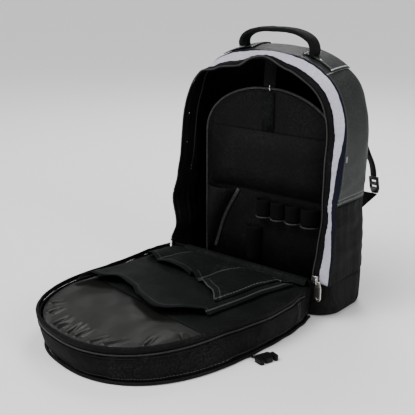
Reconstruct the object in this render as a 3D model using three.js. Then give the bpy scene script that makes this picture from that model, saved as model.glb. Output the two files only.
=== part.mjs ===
// A tool backpack that stands open: its front lies on the floor as a flap, hinged along the boot.
// X runs across the bag, -Y is the side the flap falls to, Z is up, and all lengths are millimetres.
// The origin is on the floor, under the middle of the boot.
import * as THREE from "three";

// Driving dimensions of the body
const BAG_WIDTH = 350;
const BOOT_HEIGHT = 67;
const BOOT_DEPTH = 141;
const OPENING_HEIGHT = 384;
const ARCH_RISE = 147;
const ARCH_ROUNDNESS = 2.4;
const SHOULDER_FLARE = 5;
const FRONT_LEAN = 0.12;
const BACK_EDGE_RADIUS = 44;
const BOOT_FRONT_CORNER = 50;
const BOOT_EDGE_ROUND = 7;
const SIDE_SEAM_HEIGHT = 205;
const CROWN = 8;
const SIDE_PUFF = 4;
const SWELL = 17;
const PLEAT_PITCH = 18;
const PLEAT_DEPTH = 2;
const WALL = 3;
const BOOT_WALL = 3.5;
const SEAM_GAP = 0.5;

// Driving dimensions of the opening's edge
const TAPE_WIDTH = 22;
const TAPE_THICKNESS = 1.2;
const ZIP_TAPE_WIDTH = 13;
const ZIP_TAPE_THICKNESS = 1.5;

// Driving dimensions of the back, the straps and the handle
const BACK_PAD_THICKNESS = 9;
const STRAP_WIDTH = 56;
const STRAP_THICKNESS = 9;
const STRAP_STANDOFF = 30;
const STRAP_TURN_DEG = 36;
const WEBBING_WIDTH = 24;
const WEBBING_THICKNESS = 1.8;
const LADDER_LOCK_LENGTH = 30;
const LADDER_LOCK_THICKNESS = 5;
const LADDER_LOCK_BAR = 3;
const LADDER_LOCK_MARGIN = 4;
const WING_REACH_DOWN = 34;
const WING_TIP_WIDTH = 16;
const HANDLE_SPAN = 148;
const HANDLE_OFFSET = 14;
const HANDLE_RISE = 38.5;
const HANDLE_WIDTH = 29;
const HANDLE_THICKNESS = 9;
const PATCH_THICKNESS = 1.5;

// Driving dimensions of the flap
const FLAP_LENGTH = 395;
const FLAP_ARCH_LENGTH = 195;
const FLAP_ROUNDNESS = 2.37;
const HINGE_DROP = 9;
const FLAP_HINGE_DEPTH = BOOT_HEIGHT - HINGE_DROP;
const FLAP_END_DEPTH = 47;
const FLAP_TURN_DEG = 10.5;
const FLAP_TURN_LENGTH = 133;
const FLAP_RIM_SHIFT = 16;
const FLAP_GAP = 5;
const FLAP_PUFF = 5;
const FLAP_TUCK = 13;
const FLAP_END_CLEARANCE = 4;
const PIPING_RADIUS = 2.6;
const LIP_HEIGHT = 9;
const LIP_THICKNESS = 2;
const PANEL_CROWN = 2;
const PANEL_THICKNESS = 3;
const COATED_PANEL_START = 226;
const DOCUMENT_POCKET_RISE = 9;
const TOOL_POCKET_RISE = 12;
const POCKET_CLOTH = 1.8;
const HINGE_STRIP_REACH = 30;
const HINGE_STRIP_DROP = 16;
const FLAP_STRAP_PLACE = 142;
const FLAP_STRAP_LIFT = 2.2;
const FLAP_STRAP_LENGTH = 13;
const BUCKLE_LENGTH = 18;
const BUCKLE_WIDTH = 36;
const BUCKLE_THICKNESS = 8;
const BUCKLE_MARGIN = 3;

// Driving dimensions of the board and the pockets inside
const BOARD_WIDTH = 284;
const BOARD_TOP = 381;
const BOARD_FOOT = 4;
const BOARD_ARCH_RISE = 92;
const BOARD_THICKNESS = 4;
const BOARD_PLACE_Y = -12;
const BINDING_RADIUS = 2.4;
const TOOL_PANEL_TOP = 304;
const TOOL_PANEL_THICKNESS = 2;
const TOOL_PANEL_INSET = 12;
const TOOL_PANEL_FOOT = 192;
const LOOP_BAND_FOOT = 148;
const LOOP_BAND_HEIGHT = 31;
const LOOP_BULGE = 17;
const LOOP_CLOTH = 2;
const LOOP_BINDING_RADIUS = 1.6;
const SIDE_POCKET_TOP = 186;
const SIDE_POCKET_FOOT = 58;
const SIDE_POCKET_BULGE = 20;
const ZIP_BAND_WIDTH = 7;
const POUCH_TOP = 122;
const POUCH_FOOT = 56;
const POUCH_DEPTH = 14;
const HANGER_WIDTH = 26;

// Driving dimensions of the zip's slider and pull
const SLIDER_LENGTH = 14;
const SLIDER_WIDTH = 9;
const SLIDER_THICKNESS = 5;
const PULL_LENGTH = 36;
const PULL_WIDTH = 13;
const PULL_THICKNESS = 1.8;
const PULL_CLEARANCE = 0.5;

// Colours, with a roughness for each finish
const FINISHES = {
  coated: { color: 0x3a3d3b, roughness: 0.6 },
  black: { color: 0x17171a, roughness: 0.8 },
  lining: { color: 0x1d1d1f, roughness: 0.85 },
  organiser: { color: 0x2b2e2f, roughness: 0.75 },
  shiny: { color: 0x4a4a48, roughness: 0.35 },
  reflective: { color: 0xd3d3dc, roughness: 0.45 },
  webbing: { color: 0x151517, roughness: 0.9 },
  trim: { color: 0x8d8f92, roughness: 0.7 },
  plastic: { color: 0x0f0f10, roughness: 0.4 },
  metal: { color: 0xc9c8c0, roughness: 0.3, metalness: 1 },
};

const backpack = new THREE.Group();
const vec = (x, y, z) => new THREE.Vector3(x, y, z);
const mix = (a, b, share) => a + (b - a) * share;
const clamp = (value) => Math.min(Math.max(value, 0), 1);
const ease = (value) => {
  const s = clamp(value);
  return s * s * (3 - 2 * s);
};
const bump = (value, centre, reach) => ease(1 - Math.abs(value - centre) / reach);
const steps = (from, to, count) => Array.from({ length: count + 1 }, (_, i) => mix(from, to, i / count));

// Reads one column of a table whose rows are sorted by their "at" column, eased between rows.
function read(table, at, column) {
  const last = table.length - 1;
  if (at <= table[0].at) return table[0][column];
  for (let i = 0; i < last; i++) {
    const [a, b] = [table[i], table[i + 1]];
    if (at <= b.at) return mix(a[column], b[column], ease((at - a.at) / (b.at - a.at)));
  }
  return table[last][column];
}

function signedVolume(points, faces) {
  const cross = new THREE.Vector3();
  return faces.reduce((sum, [a, b, c]) => sum + points[a].dot(cross.crossVectors(points[b], points[c])), 0);
}

// Makes a mesh from points and triangles, turned so that its faces point out.
function addSolid(name, finish, points, faces) {
  const turned = signedVolume(points, faces) < 0 ? faces.map(([a, b, c]) => [a, c, b]) : faces;
  const geometry = new THREE.BufferGeometry().setFromPoints(points);
  geometry.setIndex(turned.flat());
  geometry.computeVertexNormals();
  addMesh(name, finish, geometry);
}

function addMesh(name, finish, geometry) {
  const mesh = new THREE.Mesh(geometry, new THREE.MeshStandardMaterial(FINISHES[finish]));
  mesh.name = name;
  backpack.add(mesh);
}

// A cloth wall between two grids of points that face each other, closed round its edges.
function addShell(name, finish, outer, inner) {
  const rows = outer.length;
  const columns = outer[0].length;
  const points = [...outer.flat(), ...inner.flat()];
  const id = (layer, i, j) => layer * rows * columns + i * columns + j;
  const faces = [];
  const quad = (a, b, c, d) => faces.push([a, b, c], [a, c, d]);
  for (let i = 0; i < rows - 1; i++)
    for (let j = 0; j < columns - 1; j++) {
      quad(id(0, i, j), id(0, i + 1, j), id(0, i + 1, j + 1), id(0, i, j + 1));
      quad(id(1, i, j), id(1, i, j + 1), id(1, i + 1, j + 1), id(1, i + 1, j));
    }
  for (let i = 0; i < rows - 1; i++) {
    quad(id(0, i + 1, 0), id(0, i, 0), id(1, i, 0), id(1, i + 1, 0));
    quad(id(0, i, columns - 1), id(0, i + 1, columns - 1), id(1, i + 1, columns - 1), id(1, i, columns - 1));
  }
  for (let j = 0; j < columns - 1; j++) {
    quad(id(0, 0, j), id(0, 0, j + 1), id(1, 0, j + 1), id(1, 0, j));
    quad(id(0, rows - 1, j + 1), id(0, rows - 1, j), id(1, rows - 1, j), id(1, rows - 1, j + 1));
  }
  addSolid(name, finish, points, faces);
}

// The same grid moved along its own normals. A positive distance goes to the side of row x column.
function offsetGrid(grid, distance) {
  const held = (value, last) => Math.min(Math.max(value, 0), last);
  const at = (i, j) => grid[held(i, grid.length - 1)][held(j, grid[0].length - 1)];
  return grid.map((row, i) =>
    row.map((point, j) => {
      const down = at(i + 1, j).clone().sub(at(i - 1, j));
      const across = at(i, j + 1).clone().sub(at(i, j - 1));
      return point.clone().addScaledVector(down.cross(across).normalize(), distance);
    }),
  );
}

function addCloth(name, finish, grid, thickness) {
  addShell(name, finish, grid, offsetGrid(grid, thickness));
}

// Sweeps a closed section along stations of { p, u, v }: a section point [a, b] lands at p + u a + v b.
function addSweep(name, finish, stations, section) {
  const size = section.length;
  const points = stations.flatMap(({ p, u, v }) =>
    section.map(([a, b]) => p.clone().addScaledVector(u, a).addScaledVector(v, b)),
  );
  const faces = [];
  const spans = stations.length - 1;
  for (let i = 0; i < spans; i++)
    for (let k = 0; k < size; k++) {
      const here = i * size;
      const next = (i + 1) * size;
      const l = (k + 1) % size;
      faces.push([here + k, next + k, next + l], [here + k, next + l, here + l]);
    }
  const cap = THREE.ShapeUtils.triangulateShape(section.map(([a, b]) => new THREE.Vector2(a, b)), []);
  const end = spans * size;
  for (const [a, b, c] of cap) faces.push([a, b, c], [end + a, end + c, end + b]);
  addSolid(name, finish, points, faces);
}

// A flat plate from a contour and holes, as lists of [x, y], placed by a matrix.
function addPlate(name, finish, contour, holes, thickness, placement) {
  const wind = (points, clockwise) => {
    const flat = points.map(([x, y]) => new THREE.Vector2(x, y));
    return THREE.ShapeUtils.isClockWise(flat) === clockwise ? flat : flat.reverse();
  };
  const shape = new THREE.Shape(wind(contour, false));
  shape.holes = holes.map((hole) => new THREE.Path(wind(hole, true)));
  const geometry = new THREE.ExtrudeGeometry(shape, { depth: thickness, bevelEnabled: false });
  addMesh(name, finish, geometry.applyMatrix4(placement));
}

// Stations along a path of points, with the section's first axis near a given direction.
function alongPath(points, acrossAt) {
  const last = points.length - 1;
  return points.map((p, i) => {
    const before = points[Math.max(i - 1, 0)];
    const after = points[Math.min(i + 1, last)];
    const along = after.clone().sub(before).normalize();
    const across = acrossAt(i / last).clone();
    const u = across.addScaledVector(along, -across.dot(along)).normalize();
    return { p, u, v: along.clone().cross(u).normalize() };
  });
}

const polygon = (radius, sides) =>
  steps(0, 1, sides)
    .slice(0, sides)
    .map((turn) => [radius * Math.cos(2 * Math.PI * turn), radius * Math.sin(2 * Math.PI * turn)]);
const band = (width, thickness) => [
  [-width / 2, -thickness / 2],
  [width / 2, -thickness / 2],
  [width / 2, thickness / 2],
  [-width / 2, thickness / 2],
];
const paddedBand = (width, thickness) => [
  [-width / 2, -thickness * 0.2],
  [-width * 0.4, -thickness / 2],
  [width * 0.4, -thickness / 2],
  [width / 2, -thickness * 0.2],
  [width / 2, thickness * 0.2],
  [width * 0.4, thickness / 2],
  [-width * 0.4, thickness / 2],
  [-width / 2, thickness * 0.2],
];
const smoothPath = (points, count) =>
  new THREE.CatmullRomCurve3(points, false, "centripetal").getSpacedPoints(count);

// The body's outline, seen from the front: t is -1 low on the left, 0 at the top and 1 low on the right.
const HALF_WIDTH = BAG_WIDTH / 2;
const FRONT_Y = -BOOT_DEPTH / 2;
const BACK_Y = BOOT_DEPTH / 2;
const STRAIGHT = OPENING_HEIGHT - ARCH_RISE;
const SHOULDER = HALF_WIDTH + SHOULDER_FLARE;
const BODY_TOP = BOOT_HEIGHT + OPENING_HEIGHT;
const ARCH_SHARE = 0.55;
const ROUND_POWER = 2 / ARCH_ROUNDNESS;

function outline(t) {
  const side = t < 0 ? -1 : 1;
  const from = Math.abs(t);
  if (from <= ARCH_SHARE) {
    const angle = (1 - from / ARCH_SHARE) * (Math.PI / 2);
    const x = side * SHOULDER * Math.max(Math.cos(angle), 0) ** ROUND_POWER;
    return vec(x, 0, BOOT_HEIGHT + STRAIGHT + ARCH_RISE * Math.sin(angle) ** ROUND_POWER);
  }
  const down = (from - ARCH_SHARE) / (1 - ARCH_SHARE);
  return vec(side * mix(SHOULDER, HALF_WIDTH, down), 0, BOOT_HEIGHT + STRAIGHT * (1 - down));
}

function outwardAt(t) {
  const a = outline(Math.max(t - 0.01, -1));
  const b = outline(Math.min(t + 0.01, 1));
  const along = b.sub(a).normalize();
  return vec(-along.z, 0, along.x);
}

const tAtHeight = (z, side) => side * mix(ARCH_SHARE, 1, 1 - (z - BOOT_HEIGHT) / STRAIGHT);
const frontAt = (z) => FRONT_Y + FRONT_LEAN * Math.max(z - BOOT_HEIGHT, 0);

// How the cloth sags, by share of the height: left and right push a side out, taper draws the back in.
const SAG = [
  { at: 0, left: 0, right: 0, taper: 0 },
  { at: 0.09, left: 0.5, right: 0.05, taper: 0 },
  { at: 0.155, left: 0.75, right: 0.05, taper: 0 },
  { at: 0.235, left: 0, right: 0.05, taper: 0.1 },
  { at: 0.35, left: 1, right: 0, taper: 0.3 },
  { at: 0.455, left: 0.45, right: -0.15, taper: 0.55 },
  { at: 0.55, left: 0.1, right: 0, taper: 0.5 },
  { at: 0.8, left: 0, right: 0, taper: 0.5 },
  { at: 0.93, left: 0, right: 0, taper: 0 },
];

function settle(point) {
  const high = point.z / BODY_TOP;
  const rearward = clamp((point.y - FRONT_Y) / BOOT_DEPTH);
  const sideways = Math.min(1, Math.abs(point.x) / (HALF_WIDTH - BACK_EDGE_RADIUS));
  const side = Math.sign(point.x);
  const swell = read(SAG, high, side < 0 ? "left" : "right") * mix(1, 0.35, rearward);
  const taper = read(SAG, high, "taper") * rearward;
  point.x += side * sideways * SWELL * (swell - taper);
  return point;
}

// The opening's turned edge: how far the cloth stops short, and how the edge tilts out of the front.
// recess is a share of the edge's width, and tilt is 0 in the front's plane and 90 in line with the wall.
const EDGE = [
  { at: -1, recess: 0.9, tilt: 90 },
  { at: -0.45, recess: 0.9, tilt: 90 },
  { at: -0.3, recess: 0.55, tilt: 75 },
  { at: -0.19, recess: 0.15, tilt: 48 },
  { at: -0.08, recess: 0, tilt: 36 },
  { at: 0.02, recess: 0, tilt: 74 },
  { at: 0.11, recess: 0, tilt: 48 },
  { at: 0.22, recess: 0, tilt: 32 },
  { at: 0.4, recess: 0, tilt: 20 },
  { at: 0.58, recess: 0, tilt: 8 },
  { at: 0.78, recess: 0, tilt: -20 },
  { at: 0.9, recess: 0, tilt: -10 },
  { at: 0.97, recess: 0, tilt: 0 },
  { at: 1, recess: 0, tilt: 0 },
];
const EDGE_WIDTH = TAPE_WIDTH + ZIP_TAPE_WIDTH;
const FLAT_SHARE = 0.5;

// A point of the outer cloth: depth runs from 0 at the front edge, round the back edge, to 1 on the back.
function bodySkin(t, depth) {
  const point = outline(t);
  const outward = outwardAt(t);
  const front = frontAt(point.z) + EDGE_WIDTH * read(EDGE, t, "recess");
  const turn = clamp((depth - FLAT_SHARE) / (1 - FLAT_SHARE)) * (Math.PI / 2);
  const run = BACK_Y - BACK_EDGE_RADIUS - front;
  const puff = mix(SIDE_PUFF, CROWN, outward.z ** 2) * Math.sin(Math.PI * depth);
  const aboveBoot = ease((point.z - BOOT_HEIGHT) / (SIDE_SEAM_HEIGHT - BOOT_HEIGHT));
  const inward = BACK_EDGE_RADIUS * (1 - Math.cos(turn)) - puff * aboveBoot;
  point.addScaledVector(outward, -inward);
  point.y = front + run * clamp(depth / FLAT_SHARE) + BACK_EDGE_RADIUS * Math.sin(turn);
  if (t < 0) {
    const reach = (SIDE_SEAM_HEIGHT - BOOT_HEIGHT) * 0.55;
    const low = bump(point.z, BOOT_HEIGHT + reach, reach);
    const early = 1 - ease((depth - FLAT_SHARE * 0.7) / (FLAT_SHARE * 0.3));
    point.x += PLEAT_DEPTH * low * early * Math.sin((2 * Math.PI * (point.y - front)) / PLEAT_PITCH);
  }
  return settle(point);
}

const bodyGrid = (ts, depths) => ts.map((t) => depths.map((depth) => bodySkin(t, depth)));

// The boot is a tray. Its outer and inner skins are rings of a rounded rectangle, with the cloth's sag.
const BOOT_ROWS = [
  { at: 0, inset: 1, corner: 1 },
  { at: 0.07, inset: 0.3, corner: 1 },
  { at: 0.2, inset: 0, corner: 0.9 },
  { at: 0.6, inset: 0, corner: 0.45 },
  { at: 1, inset: 0, corner: 0.25 },
];

function bootRing(z, high, wallIn) {
  const inset = BOOT_EDGE_ROUND * read(BOOT_ROWS, high, "inset") + wallIn;
  const frontRadius = Math.max(BOOT_FRONT_CORNER * read(BOOT_ROWS, high, "corner") - inset, 2);
  const backRadius = BACK_EDGE_RADIUS - inset;
  const [right, front, back] = [HALF_WIDTH - inset, FRONT_Y + inset, BACK_Y - inset];
  const corners = [
    { x: right - frontRadius, y: front + frontRadius, r: frontRadius, from: -90 },
    { x: right - backRadius, y: back - backRadius, r: backRadius, from: 0 },
    { x: backRadius - right, y: back - backRadius, r: backRadius, from: 90 },
    { x: frontRadius - right, y: front + frontRadius, r: frontRadius, from: 180 },
  ];
  const ring = corners.flatMap(({ x, y, r, from }) =>
    steps(from, from + 90, 6).map((angle) => {
      const a = THREE.MathUtils.degToRad(angle);
      return vec(x + r * Math.cos(a), y + r * Math.sin(a), z);
    }),
  );
  const middles = ring.flatMap((point, i) => {
    const next = ring[(i + 1) % ring.length];
    const long = point.distanceTo(next) > BACK_EDGE_RADIUS;
    return long ? steps(0, 1, 4).slice(0, 4).map((share) => point.clone().lerp(next, share)) : [point];
  });
  return middles.map(settle);
}

function addTray(name, finish) {
  const outer = BOOT_ROWS.map(({ at }) => bootRing(at * BOOT_HEIGHT, at, 0));
  const inner = steps(1, 0, 3).map((high) =>
    bootRing(mix(BOOT_WALL, BOOT_HEIGHT, high), Math.max(high, 0.2), BOOT_WALL),
  );
  const rings = [...outer, ...inner];
  const size = rings[0].length;
  const points = rings.flat();
  const faces = [];
  for (let i = 0; i < rings.length - 1; i++)
    for (let k = 0; k < size; k++) {
      const l = (k + 1) % size;
      const [here, next] = [i * size, (i + 1) * size];
      faces.push([here + k, here + l, next + l], [here + k, next + l, next + k]);
    }
  const under = points.push(vec(0, 0, 0)) - 1;
  const floor = points.push(vec(0, 0, BOOT_WALL)) - 1;
  const lastRing = (rings.length - 1) * size;
  for (let k = 0; k < size; k++) {
    const l = (k + 1) % size;
    faces.push([under, l, k], [floor, lastRing + k, lastRing + l]);
  }
  addSolid(name, finish, points, faces);
}
addTray("base_boot", "black");

// The side panels and the arch over them share one skin, cut at the side seams.
const roundTheBack = steps(FLAT_SHARE, 1, 5).slice(1);
const depthsRound = [...steps(0, FLAT_SHARE, 4), ...roundTheBack];
const depthsPleated = [...steps(0, FLAT_SHARE, 16), ...roundTheBack];
const lowHeights = steps(BOOT_HEIGHT + SEAM_GAP * 2, SIDE_SEAM_HEIGHT - SEAM_GAP / 2, 6);
const [leftTs, lowTs] = [-1, 1].map((side) => lowHeights.map((z) => tAtHeight(z, side)));
addCloth("side_panel_left", "black", bodyGrid(leftTs, depthsPleated), -WALL);
addCloth("side_panel_right", "black", bodyGrid(lowTs.toReversed(), depthsRound), -WALL);
const seamT = tAtHeight(SIDE_SEAM_HEIGHT + SEAM_GAP / 2, 1);
const archTs = [
  ...steps(-seamT, -ARCH_SHARE, 4).slice(0, 4),
  ...steps(-ARCH_SHARE, ARCH_SHARE, 24),
  ...steps(ARCH_SHARE, seamT, 4).slice(1),
];
addCloth("upper_gusset", "coated", bodyGrid(archTs, depthsRound), -WALL);

// The turned edge: a reflective tape sewn to the cloth, then the black tape that carries the zip's teeth.
function edgePoint(t, distance) {
  const tilt = THREE.MathUtils.degToRad(read(EDGE, t, "tilt"));
  const start = bodySkin(t, 0);
  const forward = vec(0, -1, 0);
  const inward = outwardAt(t).negate();
  const clear = SEAM_GAP * 1.6 + WALL * Math.max(0, -Math.tan(tilt));
  return start
    .addScaledVector(forward, clear + distance * Math.sin(tilt))
    .addScaledVector(inward, distance * Math.cos(tilt));
}
const edgeTs = steps(-1, 1, 56);
const edgeGrid = (from, to, count) => edgeTs.map((t) => steps(from, to, count).map((d) => edgePoint(t, d)));
addCloth("reflective_tape", "reflective", edgeGrid(0, TAPE_WIDTH, 1), -TAPE_THICKNESS);
addCloth("opening_zip_tape", "webbing", edgeGrid(TAPE_WIDTH + SEAM_GAP, EDGE_WIDTH, 1), -ZIP_TAPE_THICKNESS);

// The padded back panel fills the back edge's rounded frame.
const backTs = [...lowTs, ...archTs.filter((t) => t > 0.03).reverse()];
const backPad = (across, high) =>
  BACK_PAD_THICKNESS * ease(Math.min(high, 1 - high) / 0.04) * (1 - across ** 6);
function backGrid(face) {
  return backTs.map((t) => {
    const inside = (at) => bodySkin(at, 1).addScaledVector(outwardAt(at), -SEAM_GAP * 2.4);
    const [right, left] = [inside(t), inside(-t)];
    return steps(0, 1, 6).map((share) => {
      const high = (right.z - BOOT_HEIGHT) / (BODY_TOP - BACK_EDGE_RADIUS - BOOT_HEIGHT);
      const pad = backPad(Math.abs(2 * share - 1), high);
      return vec(mix(left.x, right.x, share), face === "inner" ? BACK_Y - WALL : BACK_Y + pad, right.z);
    });
  });
}
addShell("back_panel", "black", backGrid("outer"), backGrid("inner"));

// Each shoulder strap is sewn to the back high up, stands off it, and ends in webbing with a ladder lock.
// The route's places are shares: across of the half-width, high of the body, off of the standoff.
const STRAP_ROUTE = [
  { high: 0.875, across: 0.25, off: 0 },
  { high: 0.85, across: 0.26, off: 0 },
  { high: 0.8, across: 0.34, off: 0.8 },
  { high: 0.72, across: 0.5, off: 1.05 },
  { high: 0.63, across: 0.75, off: 0.55 },
  { high: 0.6, across: 0.82, off: 0.35 },
  { high: 0.55, across: 0.9, off: 0.25 },
  { high: 0.505, across: 0.925, off: 0.22 },
];
const STRAP_BREADTH = [
  { at: 0, broad: 1 },
  { at: 0.5, broad: 0.95 },
  { at: 1, broad: 0.55 },
];
const STRAP_POINTS = 28;
const WEBBING_FROM = 18;
const SIDES = [
  { label: "left", side: -1 },
  { label: "right", side: 1 },
];
const STRAP_FACE = BACK_Y + BACK_PAD_THICKNESS + STRAP_THICKNESS / 2 + SEAM_GAP;
const backPoint = ({ high, across, off }, side) =>
  vec(side * across * HALF_WIDTH, STRAP_FACE + STRAP_STANDOFF * off, high * BODY_TOP);

const strapTurn = THREE.MathUtils.degToRad(STRAP_TURN_DEG);

function addShoulderStrap(label, side) {
  const route = smoothPath(STRAP_ROUTE.map((row) => backPoint(row, side)), STRAP_POINTS);
  const flat = vec(side, 0, 0);
  const edgeOn = vec(side * Math.cos(strapTurn), -Math.sin(strapTurn), 0);
  const turned = (share) => flat.clone().lerp(edgeOn, ease((share - 0.35) / 0.5));
  const stations = alongPath(route, turned);
  const padded = stations.slice(0, WEBBING_FROM + 1).map(({ p, u, v }, i) => {
    return { p, u: u.clone().multiplyScalar(read(STRAP_BREADTH, i / WEBBING_FROM, "broad")), v };
  });
  addSweep(`shoulder_strap_${label}`, "black", padded, paddedBand(STRAP_WIDTH, STRAP_THICKNESS));
  const webbing = stations.slice(WEBBING_FROM);
  const start = webbing[0].p.clone().lerp(webbing[1].p, SEAM_GAP / webbing[0].p.distanceTo(webbing[1].p));
  webbing[0] = { ...webbing[0], p: start };
  addSweep(`strap_webbing_${label}`, "webbing", webbing, band(WEBBING_WIDTH, WEBBING_THICKNESS));
  const end = webbing.at(-1);
  const up = webbing.at(-2).p.clone().sub(end.p).normalize();
  addLadderLock(`ladder_lock_${label}`, end.p, end.u, up);
  addStrapWing(`strap_wing_${label}`, end.p, end.u, up, side);
}

// The ladder lock is a frame with two slots, cut from a rounded plate, in line with the webbing's end.
function addLadderLock(name, end, across, up) {
  const half = WEBBING_WIDTH / 2 + LADDER_LOCK_MARGIN;
  const inside = half - LADDER_LOCK_BAR;
  const outer = [
    [-half, 0],
    [half, 0],
    [half, -LADDER_LOCK_LENGTH * 0.7],
    [half * 0.6, -LADDER_LOCK_LENGTH],
    [-half * 0.6, -LADDER_LOCK_LENGTH],
    [-half, -LADDER_LOCK_LENGTH * 0.7],
  ];
  const slots = [-0.2, -0.52].map((top) => {
    const [high, low] = [top * LADDER_LOCK_LENGTH, (top - 0.12) * LADDER_LOCK_LENGTH];
    return [
      [-inside, high],
      [inside, high],
      [inside, low],
      [-inside, low],
    ];
  });
  const facing = across.clone().cross(up);
  const corner = end.clone().addScaledVector(up, -SEAM_GAP);
  corner.addScaledVector(facing, -LADDER_LOCK_THICKNESS / 2);
  const placement = new THREE.Matrix4().makeBasis(across, up, facing).setPosition(corner);
  addPlate(name, "plastic", outer, slots, LADDER_LOCK_THICKNESS, placement);
}

// A triangular wing of cloth runs from the side seam at the body's back edge up to the ladder lock.
function addStrapWing(name, end, across, up, side) {
  const lockFoot = end.clone().addScaledVector(up, -LADDER_LOCK_LENGTH - SEAM_GAP * 2.8);
  const rows = steps(-1, 1, 4).map((share) => {
    const z = mix(lockFoot.z - WING_REACH_DOWN, SIDE_SEAM_HEIGHT - SEAM_GAP * 3, (share + 1) / 2);
    const t = tAtHeight(z, side);
    const foot = bodySkin(t, 0.86);
    const outward = bodySkin(t, 0.9).sub(bodySkin(t, 0.82)).setZ(0).normalize();
    foot.add(vec(outward.y * side, Math.abs(outward.x), 0).multiplyScalar(SEAM_GAP * 0.8));
    const tip = lockFoot.clone().addScaledVector(across, (-share * WING_TIP_WIDTH) / 2);
    return steps(0, 1, 3).map((along) => foot.clone().lerp(tip, along));
  });
  addCloth(name, "black", rows, side * WEBBING_THICKNESS);
}
for (const { label, side } of SIDES) addShoulderStrap(label, side);

// The carrying handle: a padded band whose feet are sewn to the crown under a patch on each shoulder.
const HANDLE_ARCH = [
  { across: 1, rise: 0 },
  { across: 1.01, rise: 0.3 },
  { across: 0.92, rise: 0.62 },
  { across: 0.68, rise: 0.86 },
  { across: 0.35, rise: 0.98 },
  { across: 0, rise: 1 },
];
const handleDepth = FLAT_SHARE * 0.36;
const tAtX = (x) => {
  const angle = Math.acos(Math.min(Math.abs(x) / SHOULDER, 1) ** (1 / ROUND_POWER));
  return Math.sign(x) * ARCH_SHARE * (1 - angle / (Math.PI / 2));
};
const footT = (side) => tAtX(side * (HANDLE_SPAN / 2) + HANDLE_OFFSET);
const footRise = PATCH_THICKNESS + SEAM_GAP * 2 + HANDLE_THICKNESS * 0.35;
const feet = { left: bodySkin(footT(-1), handleDepth), right: bodySkin(footT(1), handleDepth) };
const handleY = feet.right.y;
const handleTop = feet.right.z + footRise + HANDLE_RISE;
const handleHalf = (side, footPoint) =>
  HANDLE_ARCH.map(({ across, rise }) => {
    const x = side * (HANDLE_SPAN / 2) * across + HANDLE_OFFSET;
    return vec(x, handleY, mix(footPoint.z + footRise, handleTop, rise));
  });
const handlePoints = [...handleHalf(-1, feet.left), ...handleHalf(1, feet.right).slice(0, -1).reverse()];
const handleStations = alongPath(smoothPath(handlePoints, 30), () => vec(0, 1, 0));
addSweep("carry_handle", "webbing", handleStations, paddedBand(HANDLE_WIDTH, HANDLE_THICKNESS));
for (const { label, side } of SIDES) {
  const ts = steps(footT(side) - side * 0.045, footT(side) + side * 0.1, 5);
  const depths = depthsRound.filter((depth) => depth > 0 && depth < FLAT_SHARE * 1.25);
  const under = offsetGrid(bodyGrid(ts, depths), side * SEAM_GAP * 1.6);
  addCloth(`handle_patch_${label}`, "coated", under, side * PATCH_THICKNESS);
}

// The flap lies on its outer face. u runs from the hinge to the far end and v across, on a line that turns.
const TURN = THREE.MathUtils.degToRad(FLAP_TURN_DEG);
const HINGE_Y = FRONT_Y - FLAP_GAP;

function onFloor(u, v, z) {
  const angle = TURN * Math.min(u / FLAP_TURN_LENGTH, 1);
  const radius = FLAP_TURN_LENGTH / TURN;
  const past = Math.max(u - FLAP_TURN_LENGTH, 0);
  const x = -radius * (1 - Math.cos(angle)) - past * Math.sin(angle);
  const y = -radius * Math.sin(angle) - past * Math.cos(angle);
  const shift = FLAP_RIM_SHIFT * Math.min(u / BOOT_HEIGHT, 1) * (z / FLAP_HINGE_DEPTH);
  const before = Math.min(u, 0);
  return vec(x + v * Math.cos(angle) - shift, HINGE_Y + y - before - v * Math.sin(angle), z);
}

// Half-widths of the flap from the hinge to the start of its round end, as shares of half the bag's width.
const FLAP_SIDES = [
  { at: 0, left: 1.07, right: 0.835, floor: 0.79 },
  { at: 0.15, left: 1.06, right: 0.88, floor: 0.83 },
  { at: 0.35, left: 1.03, right: 0.975, floor: 0.87 },
  { at: 0.55, left: 1.01, right: 1, floor: 0.9 },
  { at: 0.8, left: 0.98, right: 0.985, floor: 0.94 },
  { at: 1, left: 0.96, right: 0.96, floor: 0.955 },
];
const FLAP_STRAIGHT = FLAP_LENGTH - FLAP_ARCH_LENGTH;
const FLAP_POWER = 2 / FLAP_ROUNDNESS;

// The foot of the flap's far left corner is drawn in under its rim.
const tuckAt = (s, level) => FLAP_TUCK * bump(s, -0.3, 0.26) * (1 - level);

// The flap's edge: s runs from -1 at the hinge's left, round the far end, to 1 at the hinge's right.
function flapEdge(s, level) {
  const side = s < 0 ? -1 : 1;
  const from = Math.abs(s);
  const widest = side < 0 ? "left" : "right";
  if (from >= 0.5) {
    const at = (1 - from) / 0.5;
    const share = mix(read(FLAP_SIDES, at, "floor"), read(FLAP_SIDES, at, widest), level);
    return { u: FLAP_STRAIGHT * at, v: side * (HALF_WIDTH * share - tuckAt(s, level)) };
  }
  const angle = (1 - from / 0.5) * (Math.PI / 2);
  const share = mix(read(FLAP_SIDES, 1, "floor"), read(FLAP_SIDES, 1, widest), level);
  const [long, wide] = [Math.sin(angle) ** FLAP_POWER, Math.max(Math.cos(angle), 0) ** FLAP_POWER];
  return {
    u: FLAP_STRAIGHT + (mix(0.98, 1, level) * FLAP_ARCH_LENGTH - tuckAt(s, level)) * long,
    v: side * (HALF_WIDTH * share - tuckAt(s, level)) * wide,
  };
}
const rimHeight = (u) => mix(FLAP_HINGE_DEPTH, FLAP_END_DEPTH, clamp(u / FLAP_LENGTH));

function flapWall(s, level) {
  const { u, v } = flapEdge(s, level);
  return onFloor(u, v, rimHeight(u) * level);
}

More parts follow.
